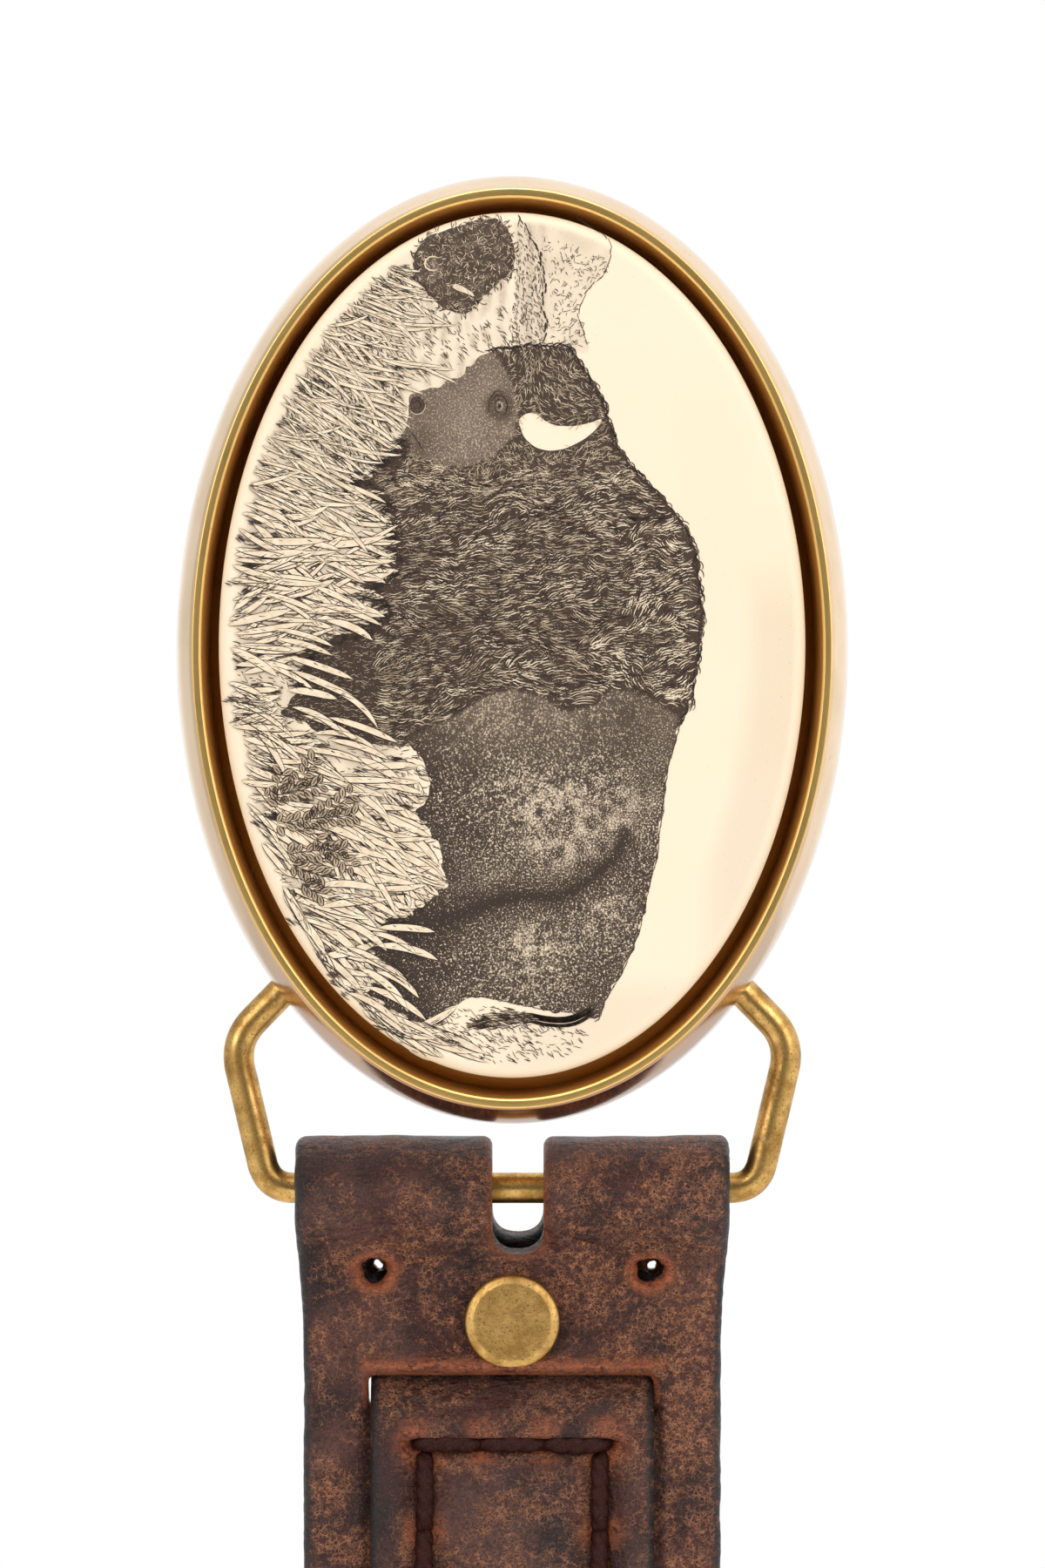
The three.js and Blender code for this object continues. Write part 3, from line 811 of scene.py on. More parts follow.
def sheet_mesh(centre, outline, holes, thick, spacing, edge, shift):
    """A leather sheet with rounded edges, cut flat as (x, distance along) and laid on its centre line.
    shift(x, along, side) moves its outer (side 1) and inner (side -1) faces along the outer normal."""
    outline = turned(outline, True)
    holes = [turned(hole, False) for hole in holes]
    loops = [outline, *holes]
    flat, triangles = sheet_flat(loops, spacing, edge)
    t = np.clip(distance_to(loops, flat, 0.03) / edge, 0, 1)
    half = thick / 2 - edge + edge * np.sqrt(np.clip(1 - (1 - t) ** 2, 0, 1))
    place, normal = centre.at(flat[:, 1])
    sides = []
    for side in (1, -1):
        out = side * half + shift(flat[:, 0], flat[:, 1], side)
        moved = place + normal * out[:, None]
        sides.append(np.stack([flat[:, 0], moved[:, 0], moved[:, 1]], axis=1))
    outer_edge = distance_to([outline], flat, 0.1)
    hole_edge = distance_to(holes, flat, 0.05) if holes else np.full(len(flat), 9.0)
    edge_paint_and_shade = 1 - smooth_step(outer_edge, 0.25, 1.0)
    raw_and_highlight = 1 - smooth_step(hole_edge, 0.15, 0.75)
    attributes = {"edge_paint_and_shade": np.tile(edge_paint_and_shade, 2), "raw_and_highlight": np.tile(raw_and_highlight, 2)}
    return np.concatenate(sides), closed_sides(triangles, len(flat)), attributes, flat


def waves(x, y, scale, seed):
    return np.array([noise.noise(Vector((a * scale, b * scale, seed))) for a, b in zip(x, y)])


BELT = belt_line()
OVERLAY = overlay_line()
BELT_HALF = BELT_HIGH[0]
OVERLAY_HALF = OVERLAY_HIGH[0]
SLIT_TOP, SLIT_BOTTOM, SLIT_HALF = -63.5, -66.3, OVERLAY_HALF + 0.14


def wobble(loop, size, scale, seed):
    """A loop with small irregular bumps."""
    middle = loop.mean(axis=0)
    push = [noise.noise(Vector((a * scale, b * scale, seed))) for a, b in loop]
    way = loop - middle
    way /= np.linalg.norm(way, axis=1)[:, None]
    return loop + way * (size * np.array(push))[:, None]


def belt_front(z):
    return BELT.where(z)


def belt_back(z):
    return BELT.where(z, last=True)


AIR_HOLES = ((-12.1, -54.2), (12.1, -54.2))
TONGUE_X, TONGUE_LOW = 0.5, -52.75         # the tongue slot's middle and its lower end


def belt_outline():
    """The strip before it is folded: narrower below the fold, tapering to the flap's end."""
    corners = [(BELT_HALF - 0.75, 0.06), (BELT_HALF - 0.72, belt_front(-58.5)),
               (BELT_HALF, belt_front(-50.5)), (BELT_HALF, belt_back(FLAP_FROM)), (7.6, BELT.length)]
    mirrored = [(-x, along) for x, along in reversed(corners)]
    loop = loop_points(corners + mirrored, [0.8, 3.0, 3.0, 1.5, 2.5, 2.5, 1.5, 3.0, 3.0, 0.8], 0.42)
    return wavy_edge(loop)


def wavy_edge(loop):
    """The outline's sides moved in by a slow wave and a fine one."""
    slow = [noise.noise(Vector((x * 0.1, along * 0.35, 5.0))) * 0.18 for x, along in loop]
    fine = [noise.noise(Vector((x, along * 1.6, 8.0))) * 0.05 for x, along in loop]
    push = np.abs(np.array(slow) + np.array(fine))
    return np.stack([loop[:, 0] - np.sign(loop[:, 0]) * push, loop[:, 1]], axis=1)


def rectangle(left, right, low, high):
    return [(left, low), (right, low), (right, high), (left, high)]


def belt_holes():
    slot_half = 2.25
    slot = rectangle(TONGUE_X - slot_half, TONGUE_X + slot_half, belt_front(TONGUE_LOW), belt_back(-51.5))
    low, high = belt_front(SLIT_BOTTOM), belt_front(SLIT_TOP)
    slit = [(-SLIT_HALF, low), (SLIT_HALF - 0.16, low), (SLIT_HALF - 0.16, high), (-SLIT_HALF - 0.1, high)]
    holes = [loop_points(slot, 2.2, 0.3), loop_points(slit, 0.9, 0.35)]
    for x, z in AIR_HOLES:
        holes.append(wobble(circle_points(1.15, (x, belt_front(z)), 0.22), 0.35, 1.4, x))
        holes.append(wobble(circle_points(0.38, (x + 0.25, belt_back(z - 0.05)), 0.14), 0.3, 2.2, x))
    return holes


def belt_shift(x, along, side):
    """Where the belt's faces bulge and sink: the slot's lips, the cap's seat and the punched holes."""
    lip, lower = belt_front(SLIT_TOP), belt_front(SLIT_BOTTOM)
    across = smooth_step(SLIT_HALF + 1.4 - np.abs(x), 0.0, 2.4)
    above = along - lip
    roll = np.exp(-((np.clip(above, 0, 20) - 0.75) / 0.85) ** 2) * (above > -0.01)
    under = np.where(along < lower + 0.01, np.exp(-np.clip(lower - along, 0, 20) / 1.6), 0.0)
    moved = across * (1.25 * roll - 0.9 * under)
    lifted = smooth_step(along, lip + 0.6, lip + 2.0)
    lifted = lifted * (1 - smooth_step(along, belt_front(-55.0), belt_front(-53.6)))
    moved += 0.16 * lifted * smooth_step(OVERLAY_HALF + 0.6 - np.abs(x), 0.0, 1.6) * (side > 0)
    ridge = np.exp(-((np.abs(x) - OVERLAY_HALF - 1.1) / 0.75) ** 2)
    ridge = ridge * (1 - smooth_step(along, lip - 0.4, lip + 0.9))
    moved += 0.55 * ridge * (side > 0)
    ring = np.hypot(x, along - belt_front(POST_Z))
    moved -= 0.35 * np.exp(-((ring - CAP_RADIUS) / 1.2) ** 2) * (along < belt_front(-53))
    rough = 1 + 0.8 * waves(x, along, 1.7, 15.0)
    for hole_x, hole_z in AIR_HOLES:
        ring = np.hypot(x - hole_x, along - belt_front(hole_z))
        burr = 0.30 * rough * np.exp(-((ring - 1.75) / 0.42) ** 2)
        moved += side * (burr - 0.25 * np.exp(-((ring - 2.9) / 0.8) ** 2))
    ring = np.hypot(x - TONGUE_X, along - belt_front(TONGUE_LOW) - 1.5)
    moved -= 0.22 * np.exp(-((ring - 2.7) / 0.9) ** 2) * (along < belt_front(TONGUE_LOW) + 3)
    return moved + 0.12 * waves(x, along, 0.16, 4.2) + 0.07 * waves(x, along, 0.5, 7.7)


def wide_belt():
    points, faces, attributes, flat = sheet_mesh(
        BELT, belt_outline(), belt_holes(), BELT_THICK, 0.42, 0.85, belt_shift)
    x, along = flat[:, 0], flat[:, 1]
    lip = belt_front(SLIT_TOP)
    # The top of the roll above the slit gets the raw colour, partly the lip's cut leather and partly a
    # painted highlight.
    crest = np.exp(-((along - lip - 0.95) / 0.5) ** 2) * smooth_step(SLIT_HALF + 1.2 - np.abs(x), 0, 0.8)
    raw_and_highlight = np.maximum(attributes["raw_and_highlight"][:len(x)], 0.95 * crest)
    for hole_x, hole_z in AIR_HOLES:
        ring = np.hypot(x - hole_x, along - belt_front(hole_z))
        raw_and_highlight = np.maximum(raw_and_highlight, 1 - smooth_step(ring, 1.9, 2.5))
    # Painted shade behind the tongue slot: the inside of the fold is painted near-black and the slot's raw
    # edges are dimmed.
    painted_slot_shade = np.abs(x - TONGUE_X) < 4.2
    painted_slot_shade &= (along > belt_front(-55.0)) & (along < belt_back(-55.0))
    raw_and_highlight = np.where(painted_slot_shade, 0.5 * raw_and_highlight, raw_and_highlight)
    attributes["raw_and_highlight"] = np.concatenate([raw_and_highlight, np.where(painted_slot_shade, 0, raw_and_highlight)])
    attributes["edge_paint_and_shade"][len(x):] = np.maximum(attributes["edge_paint_and_shade"][len(x):], painted_slot_shade)
    obj = outward(make_mesh("wide_belt", points, faces, attributes))
    return finish_piece(obj, "strap", "belt_leather", LEATHER, "belt_strap")


# ------------------------------------------------------------------ stitches

BOX_HALF, COLUMN_X, TOP_Z, BOTTOM_Z = 8.4, 7.7, -69.3, -84.6
ACROSS, DOWN, THREAD_RADIUS = 3, 2, 0.80
PLY_PITCH = 4.2                            # length of thread in which its plies turn once


def stitch_plan():
    """Each stitch's CAD node with the two points it runs between, in x and z."""
    plan = []
    pitch = 2 * BOX_HALF / ACROSS
    clear = 1.1
    drop = (TOP_Z - BOTTOM_Z - 2 * clear) / DOWN
    for z in (TOP_Z, BOTTOM_Z):
        for i in range(ACROSS):
            plan.append(((-BOX_HALF + i * pitch, z), (-BOX_HALF + (i + 1) * pitch, z)))
    for x in (-COLUMN_X, COLUMN_X):
        for i in range(DOWN):
            top = TOP_Z - clear - i * drop
            plan.append(((x, top), (x, top - drop)))
    return [(f"box_stitch_{i + 1}", *ends) for i, ends in enumerate(plan)]


PLAN = stitch_plan()
OVERLAY_FRONT = OVERLAY_BEFORE - OVERLAY_THICK / 2
BELT_REAR = BELT_PLANE + BELT_THICK / 2


def groove(x, z, sharp):
    """How far the leather is pulled in by the thread, 1 on the line of stitches."""
    away = np.full(len(x), 9.0)
    for _, a, b in PLAN:
        a, b = np.array(a), np.array(b)
        way = b - a
        t = np.clip(((x - a[0]) * way[0] + (z - a[1]) * way[1]) / (way @ way), 0, 1)
        away = np.minimum(away, np.hypot(x - a[0] - t * way[0], z - a[1] - t * way[1]))
    return np.exp(-(away / sharp) ** 2)


def holes_near(x, z, sharp):
    pull = np.zeros(len(x))
    for _, a, b in PLAN:
        for end in (a, b):
            pull = np.maximum(pull, np.exp(-(np.hypot(x - end[0], z - end[1]) / sharp) ** 2))
    return pull


def overlay_shift(x, along, side):
    """The channel pulled in by the stitches, the pillow inside the box and the rolls outside it."""
    moved = np.zeros(len(x))
    if side > 0:
        z = OVERLAY.at(along)[0][:, 1]
        z = np.where(along < OVERLAY.where(OVERLAY_OUT), z, -60.0)
        moved -= 1.15 * groove(x, z, 1.35) + 0.45 * holes_near(x, z, 0.95)
        pillow = np.exp(-(np.hypot(x / 6.6, (z + 77) / 7.4)) ** 4)
        frame_roll = np.exp(-((np.maximum(np.abs(x) - COLUMN_X, z - TOP_Z) - 2.5) / 1.2) ** 2)
        moved += 0.30 * pillow + 0.20 * frame_roll - 0.12
        torn = 0.9 * holes_near(x, z, 1.7) * (1 - groove(x, z, 1.2))
        moved += torn * (0.6 + waves(x, along, 1.6, 12.0))
        moved += 0.09 * waves(x, along, 0.35, 1.3) + 0.05 * waves(x, along, 0.9, 9.1)
    return moved


def top_strap():
    corners = [(OVERLAY_HALF, 0.06), (OVERLAY_HALF, OVERLAY.length),
               (-OVERLAY_HALF, OVERLAY.length), (-OVERLAY_HALF, 0.06)]
    outline = loop_points(corners, [0.9, 1.2, 1.2, 0.9], 0.4)
    points, faces, attributes, flat = sheet_mesh(
        OVERLAY, outline, [], OVERLAY_THICK, 0.36, 0.7, overlay_shift)
    z = OVERLAY.at(flat[:, 1])[0][:, 1]
    torn = 1.7 * holes_near(flat[:, 0], np.where(z < -66, z, 0), 1.45) - 1.3 * groove(flat[:, 0], z, 0.75)
    attributes["raw_and_highlight"] = np.tile(np.clip(torn, 0, 1) * (flat[:, 1] < OVERLAY.where(-67)), 2)
    obj = outward(make_mesh("top_strap", points, faces, attributes))
    return finish_piece(obj, "strap", "overlay_leather", OVERLAY_LEATHER, "overlay_strap")


def stitch_loop(reach):
    """A stitch's closed loop through the leather, as (along the stitch, y)."""
    front, rear = OVERLAY_FRONT + 0.72, BELT_REAR + 0.25
    corners = [(0, front - 0.05), (reach, front + 0.12), (reach, rear), (-reach, rear),
               (-reach, front + 0.12), (0, front - 0.05)]
    return resample(rounded(corners, [1.5, 1.2, 1.2, 1.5], 10), 131)[:-1]


def threads():
    dice = random.Random(11)
    for node, a, b in PLAN:
        a, b = np.array(a), np.array(b)
        length = np.linalg.norm(b - a)
        way = (b - a) / length
        bend = dice.uniform(-0.16, 0.16)
        reach = length / 2 - 0.15
        flat = stitch_loop(reach)
        sag = bend * np.cos(flat[:, 0] / max(reach, 0.1) * 1.4)
        across = np.array([way[1], -way[0]])
        middle = (a + b) / 2
        xz = middle + np.outer(flat[:, 0], way) + np.outer(sag, across)
        path = np.stack([xz[:, 0], flat[:, 1], xz[:, 1]], axis=1)
        side = np.array([across[0], 0, across[1]])
        turns = round(total_length(path) / PLY_PITCH * 1.5) / 1.5
        twist = TAU * turns / total_length(np.vstack([path, path[:1]]))
        points, faces = sweep(path, side, THREAD_RADIUS, 30, closed=True, lobes=3, twist=twist)
        piece = outward(make_mesh(node.replace("box_stitch", "thread"), points, faces))
        finish_piece(piece, "strap", "waxed_thread", THREAD, node)


# ------------------------------------------------------------------ screw post

def cap():
    """The post's flat head with its bevelled edge, and its threaded barrel."""
    front, back = POST_LOW[1], POST_LOW[1] + 1.1
    flat = CAP_RADIUS * 0.83
    end = POST_HIGH[1]
    barrel, bore, bottom = 2.0, 1.4, front + 2.2
    corners = [(0, front + 0.02), (flat - 0.1, front + 0.02), (CAP_RADIUS - 0.12, front + 0.36),
               (CAP_RADIUS, back - 0.25), (CAP_RADIUS - 0.1, back), (barrel, back), (barrel, end),
               (bore, end), (bore, bottom), (0, bottom)]
    profile = rounded(corners, [0.16, 0.30, 0.14, 0.08, 0.1, 0.1, 0.1, 0.1], 5)
    dense = [profile[0]]
    for a, b in zip(profile, profile[1:]):
        pieces = max(1, int(np.linalg.norm(b - a) / 0.4))
        dense += [a + (b - a) * (k + 1) / pieces for k in range(pieces)]
    points, faces = lathe(dense, 112, (0, 0, POST_Z), "y")
    obj = outward(make_mesh("cap", points, faces))
    return finish_piece(obj, "strap", "aged_brass", CAP_BRASS, "screw_post")


def cut_slot(obj, size, place):
    """Cuts a block of a size, in millimetres, out of a mesh object."""
    bpy.ops.mesh.primitive_cube_add(size=1)
    cutter = bpy.context.object
    cutter.scale = [side * MM for side in size]
    cutter.location = [part * MM for part in place]
    bpy.context.view_layer.update()
    cutting = obj.modifiers.new("slot", "BOOLEAN")
    cutting.operation = "DIFFERENCE"
    cutting.solver = "EXACT"
    cutting.object = cutter
    made = bpy.data.meshes.new_from_object(obj.evaluated_get(bpy.context.evaluated_depsgraph_get()))
    obj.modifiers.clear()
    obj.data = made
    bpy.data.objects.remove(cutter)
    made.shade_smooth()
    made.set_sharp_from_angle(angle=math.radians(35))


def slotted_screw():
    seat, rear, wide = SCREW_HIGH[1] - 1.0, SCREW_HIGH[1], SCREW_HIGH[0]
    shank, tip = 1.1, POST_LOW[1] + 3.0
    corners = [(0, tip), (shank, tip), (shank, seat), (wide, seat), (wide, rear),
               (wide - 1.0, rear), (0, rear)]
    profile = rounded(corners, [0.1, 0.1, 0.15, 0.38, 0.3], 5)
    points, faces = lathe(profile, 96, (0, 0, POST_Z), "y")
    obj = outward(make_mesh("screw", points, faces))
    cut_slot(obj, (3 * wide, 1.0, 1.0), (0, rear, POST_Z))
    return finish_piece(obj, "strap", "aged_brass", AGED, "post_screw")


wide_belt()
top_strap()
threads()
cap()
slotted_screw()


# ------------------------------------------------------------------ the inlay

SHOULDER = 24.2                            # half width at which the flat face starts to round over
CREST, RISE = INLAY_LOW[1] - 0.01, 0.30
EDGE_WIDE, EDGE_Y = INLAY_HIGH[0] - 0.15, -7.0
INLAY_UP = 0.3                             # the inlay sits a little high in its tray
FLAT_RINGS, ROUND_RINGS, INLAY_SEGMENTS = 112, 15, 500


def oval_width(x, z):
    """Half width of the oval, concentric with the buckle, that passes through each place."""
    x, z = np.abs(np.asarray(x, float)), np.abs(np.asarray(z, float) - INLAY_UP)
    inner = SHOULDER * np.hypot(x / SHOULDER, z / (SHOULDER + STRETCH))
    wide = np.maximum(inner, SHOULDER)
    for _ in range(4):
        value = (x / wide) ** 2 + (z / (wide + STRETCH)) ** 2 - 1
        slope = -2 * (x ** 2 / wide ** 3 + z ** 2 / (wide + STRETCH) ** 3)
        wide = np.maximum(wide - value / np.minimum(slope, -1e-9), SHOULDER)
    return np.where(inner <= SHOULDER, inner, wide)


def face_height(wide):
    t = np.clip((wide - SHOULDER) / (EDGE_WIDE - SHOULDER), 0, 1)
    flat = CREST + RISE * (np.minimum(wide, SHOULDER) / SHOULDER) ** 2
    return flat + (EDGE_Y - CREST - RISE) * (1 - np.sqrt(1 - t * t))


def on_face(u, v, lift):
    """Places on the inlay's face, raised towards the viewer by lift, for places in the picture."""
    u, v = np.asarray(u, float), np.asarray(v, float)
    return np.stack([v, face_height(oval_width(v, -u)) - lift, -u], axis=-1)


# Outlines of the picture's parts, as (u, v). The fur shares its crest and underside with the body.
CREST_LINE = [
    (-26.0, 2.0), (-26.0, 5.0), (-23.0, 7.0), (-21.0, 8.0), (-17.5, 9.0), (-15.5, 10.5),
    (-13.5, 12.5), (-10.5, 15.0), (-8.0, 16.0), (-2.5, 16.5), (1.5, 16.0), (4.5, 15.5),
]
UNDERSIDE = [
    (8.0, -14.5), (5.5, -20.2), (4.2, -18.8), (2.6, -18.0), (0.6, -17.8), (-0.8, -15.4), (-1.6, -12.5),
    (-2.6, -10.6), (-4.0, -11.0), (-5.0, -12.5), (-7.0, -10.0), (-9.0, -10.0), (-11.5, -10.5),
    (-13.5, -11.5), (-14.0, -14.0), (-15.5, -12.0),
]
BODY = [
    (-25.5, -2.5), *CREST_LINE, (6.5, 14.5),
    (10.0, 13.5), (13.5, 13.0), (18.0, 12.5), (22.0, 11.5), (24.5, 11.0), (28.0, 9.5), (30.5, 8.0),
    (32.0, 7.5), (31.5, 5.5), (31.0, 2.0), (30.5, -0.5), (30.0, -3.0), (30.5, -4.5), (31.5, -6.0),
    (32.5, -8.0), (31.0, -11.0), (29.5, -13.0), (28.5, -10.5), (26.0, -12.5), (24.5, -10.5), (23.5, -12.0),
    (23.0, -9.0), (21.5, -7.0), (20.5, -5.5), (19.0, -6.0), (16.5, -6.5), (14.0, -8.5), (13.5, -7.5),
    (11.5, -7.0), (10.0, -7.5), (8.0, -9.0), (8.5, -9.5), *UNDERSIDE, (-17.0, -9.5), (-18.0, -9.5),
    (-19.5, -9.0), (-20.5, -9.0), (-22.0, -9.0), (-22.5, -6.5), (-23.5, -4.5),
]
FUR = [
    (-25.5, -1.5), *CREST_LINE, (6.0, 14.5),
    (4.0, 11.5), (3.5, 8.5), (5.0, 7.0), (5.5, 4.5), (4.0, 2.5), (3.5, 0.0), (4.0, -2.0), (5.5, -4.5),
    (6.5, -6.5), (8.0, -9.0), *UNDERSIDE, (-16.8, -9.2), (-16.2, -7.5), (-15.5, -4.5),
    (-16.5, -1.5), (-18.5, 0.3), (-21.0, 0.6), (-23.0, 0.0), (-24.5, -0.8),
]
HORN = [
    (-19.7, 0.5), (-20.3, 1.2), (-20.3, 2.1), (-19.6, 2.8), (-19.2, 3.8), (-19.15, 5.2), (-19.4, 6.6),
    (-19.9, 7.9), (-18.9, 7.3), (-18.0, 6.2), (-17.2, 4.6), (-17.0, 3.2), (-17.3, 2.0), (-18.2, 1.0),
]
FAR_HEAD = [
    (-33.6, -8.5), (-34.9, -8.0), (-35.8, -6.9), (-36.3, -5.0), (-36.9, -3.5), (-37.2, -1.2), (-36.0, -0.3),
    (-34.0, 0.3), (-32.5, 0.0), (-31.4, -1.3), (-30.4, -2.4), (-29.3, -3.3), (-28.8, -4.4), (-29.3, -5.9),
    (-30.5, -7.2), (-31.8, -8.3),
]
FAR_HORN = [
    (-31.2, -5.2), (-31.5, -4.9), (-31.2, -4.2), (-30.7, -3.4), (-30.3, -3.2), (-30.6, -3.9), (-30.9, -4.8),
]
RIDGE = [(-37.4, 0.6), (-34.2, 2.4), (-31.5, 2.9), (-29.6, 2.5), (-28.0, 3.1), (-26.3, 2.6)]
SKYLINE = [
    (-37.2, 5.6), (-35.6, 8.2), (-34.5, 8.6), (-32.5, 8.1), (-31.6, 7.2), (-30.5, 6.2), (-29.0, 5.6),
    (-27.6, 6.1), (-26.0, 6.6),
]
HAUNCH = [
    (24.5, -9.3), (23.2, -5.0), (21.8, -1.3), (21.3, 1.5), (21.5, 4.1), (20.0, 6.8), (18.1, 8.7), (16.1, 9.9),
]
FORELEGS = [(-2.5, -9.5), (9.0, -8.5), (9.0, -15.5), (5.0, -21.0), (0.0, -18.5), (-2.5, -13.0)]
EYE, NOSTRIL = (-20.9, -1.1), (-21.0, -8.2)


def wavy(outline, reach, spacing, size, scale, seed):
    """An outline with rounded corners and a small hand-drawn wobble."""
    line = loop_points(outline, reach, spacing)
    push = [[noise.noise(Vector((a * scale, b * scale, seed + k))) for k in (0, 5)] for a, b in line]
    return line + size * np.array(push)


def field(u, v, scale, seed):
    flat_u, flat_v = np.ravel(u), np.ravel(v)
    values = [noise.noise(Vector((a * scale, b * scale, seed))) for a, b in zip(flat_u, flat_v)]
    return np.reshape(values, np.shape(u))


def near(points, line, width):
    """1 on an open line, fading over a width."""
    return np.exp(-(nearest(resample(line, 160), points) / width) ** 2)


def spot(points, place, radius):
    return np.exp(-((points[:, 0] - place[0]) ** 2 + (points[:, 1] - place[1]) ** 2) / radius ** 2)


def hide_ink(points):
    """How dark the animal is inked, and how grainy the stippling is."""
    u, v = points[:, 0], points[:, 1]
    fur = inside(np.array(FUR), points)
    cloudy = field(u, v, 0.35, 2.0)
    fine = field(u, v, 1.1, 8.0)
    slow = field(u, v, 0.22, 17.0)
    hide = 0.72 + 0.10 * cloudy + 0.08 * fine
    hide += 0.12 * smooth_step(-v, 4.0, 9.0)
    broken = np.clip(0.6 + 1.3 * fine + 0.8 * cloudy, 0, 1.3)
    hide -= broken * (0.42 * spot(points, (15.0, 4.0), 4.6) + 0.34 * spot(points, (26.5, 1.5), 3.6))
    hide -= broken * (0.24 * spot(points, (14.0, 10.5), 3.4) + 0.26 * spot(points, (23.5, 8.5), 3.0))
    hide -= broken * (0.12 * spot(points, (11.0, -1.0), 2.6) + 0.16 * spot(points, (19.5, -2.0), 1.6))
    hide += 0.22 * near(points, HAUNCH, 0.40) + 0.10 * near(points, HAUNCH, 1.5)
    hide -= 0.10 * smooth_step(9.5 - u, 0.0, 4.0) * (v < 6)
    face = 0.64 + 0.06 * slow + 0.04 * fine + 0.10 * spot(points, (-17.5, -8.0), 1.6)
    face -= 0.06 * spot(points, (-18.5, -4.0), 2.4)
    head = u < -9
    hide = np.where(head, face, hide)
    ring = np.hypot(u - EYE[0], v - EYE[1])
    hide += head * 0.20 * np.exp(-((ring - 0.85) / 0.40) ** 2)
    ring = np.hypot(u - NOSTRIL[0], v - NOSTRIL[1])
    hide += 0.22 * (ring < 0.72)
    woolly = 0.96 + 0.10 * cloudy - 0.05 * smooth_step(v, 7.0, 15.0) * smooth_step(u, -14, -10)
    tone = np.clip(np.where(fur, woolly, hide), 0, 1)
    legs = (v < -9.0) & (u > -3)
    smooth_hide = np.where(head, 0.30, 0.55 + 0.45 * smooth_step(u, 6.0, 12.0))
    grainy = np.where(fur, 0.62 + 0.2 * legs, smooth_hide)
    return {"tone": tone, "grainy": grainy}


def ground_tone(points):
    """How dark the grass, the far plain and the sky are inked."""
    u, v = points[:, 0], points[:, 1]
    wide = oval_width(v, -u)
    cloudy = field(u, v, 0.5, 3.0)
    tone = np.zeros(len(u))
    low = 1 - smooth_step(v, -11.0, -8.0)
    tone += 0.13 * low * (1 + 1.3 * cloudy) * (1 - smooth_step(wide, 23.4, 24.3))
    plain = (u < -22) * smooth_step(-v, -0.3, 0.6) * smooth_step(v, -11.5, -8.5)
    stripes = 0.5 + 0.5 * np.sin(TAU * (v / 1.25 + 0.35 * field(u, v, 0.3, 6.0)))
    tone += plain * (0.05 + 0.20 * stripes * smooth_step(field(u, v, 0.8, 12.0), -0.25, 0.3))
    hills = (u < -25) * smooth_step(v, 0.0, 0.8) * (1 - smooth_step(v, 2.4, 3.2))
    tone += hills * (0.12 + 0.16 * stripes)
    skyline = np.interp(u, [a for a, b in SKYLINE], [b for a, b in SKYLINE])
    bush = (u < -25.5) * smooth_step(v, 2.4, 3.2) * (v < skyline)
    tone += bush * (0.07 + 0.14 * np.clip(cloudy + 0.1, 0, 1))
    tone += 0.07 * smooth_step(v, 15.0, 19.0) * smooth_step(u, -9.0, -2.0) * smooth_step(wide, 19.5, 22.0)
    tone += 0.06 * smooth_step(u, 27.5, 30.5) * smooth_step(wide, 20.5, 22.5) * smooth_step(v, -5.0, 2.0)
    return np.clip(tone * (1 - smooth_step(wide, 24.1, 24.8)), 0, 1)


def inlay():
    flat = np.linspace(0.25, SHOULDER, FLAT_RINGS)
    turn = np.linspace(0, math.pi / 2, ROUND_RINGS)[1:]
    profile = [(SHOULDER, float(face_height(r)), r / SHOULDER) for r in flat]
    profile += [(r, float(face_height(r)), 1.0) for r in SHOULDER + (EDGE_WIDE - SHOULDER) * np.sin(turn)]
    rear = INLAY_HIGH[1]
    profile += [(EDGE_WIDE, y, 1.0) for y in (-6.4, -5.6, -4.9, rear + 0.25)]
    profile += [(EDGE_WIDE - 0.3, rear, 1.0), (EDGE_WIDE - 0.3, rear, 0.7), (EDGE_WIDE - 0.3, rear, 0.3)]
    obj = oval_disc("inlay", profile, INLAY_SEGMENTS)
    places = np.empty(len(obj.data.vertices) * 3, np.float32)
    obj.data.vertices.foreach_get("co", places)
    places = places.reshape(-1, 3) / MM
    places[:, 2] += INLAY_UP
    obj.data.vertices.foreach_set("co", (places * MM).ravel())
    tone = ground_tone(np.stack([-places[:, 2], places[:, 0]], axis=1))
    tone[places[:, 1] > EDGE_Y] = 0
    for key, values in (("tone", tone), ("grainy", np.full(len(tone), 0.7))):
        obj.data.attributes.new(key, "FLOAT", "POINT").data.foreach_set("value", values.astype(np.float32))
    return finish_piece(obj, "buckle", "ivory_polymer", IVORY, "scrimshaw_inlay")


def flat_triangles(outline, holes, spacing):
    """Points and triangles filling an outline with holes."""
    loops = [turned(np.asarray(outline), True)] + [turned(np.asarray(hole), False) for hole in holes]
    points, edges = [], []
    for loop in loops:
        edges += ring_edges(len(points), len(loop))
        points += loop.tolist()
    low, high = loops[0].min(axis=0), loops[0].max(axis=0)
    columns, rows = (np.arange(low[k], high[k], spacing) for k in (0, 1))
    grid = np.stack(np.meshgrid(columns, rows), axis=-1).reshape(-1, 2)
    return triangulated(loops, points, edges, grid, spacing * 0.5, 1e-6)


def ink_plate(name, outline, holes, spacing, ink, lift):
    """An inked part of the picture: a skin just proud of the face, with its own crisp outline."""
    flat, triangles = flat_triangles(outline, holes, spacing)
    top = on_face(flat[:, 0], flat[:, 1], lift)
    bottom = on_face(flat[:, 0], flat[:, 1], -0.05)
    inked = {key: np.tile(values, 2) for key, values in ink(flat).items()}
    obj = outward(make_mesh(name, np.concatenate([top, bottom]), closed_sides(triangles, len(flat)), inked))
    obj.data.set_sharp_from_angle(angle=math.radians(40))
    return finish_piece(obj, "buckle", "ivory_polymer", IVORY)


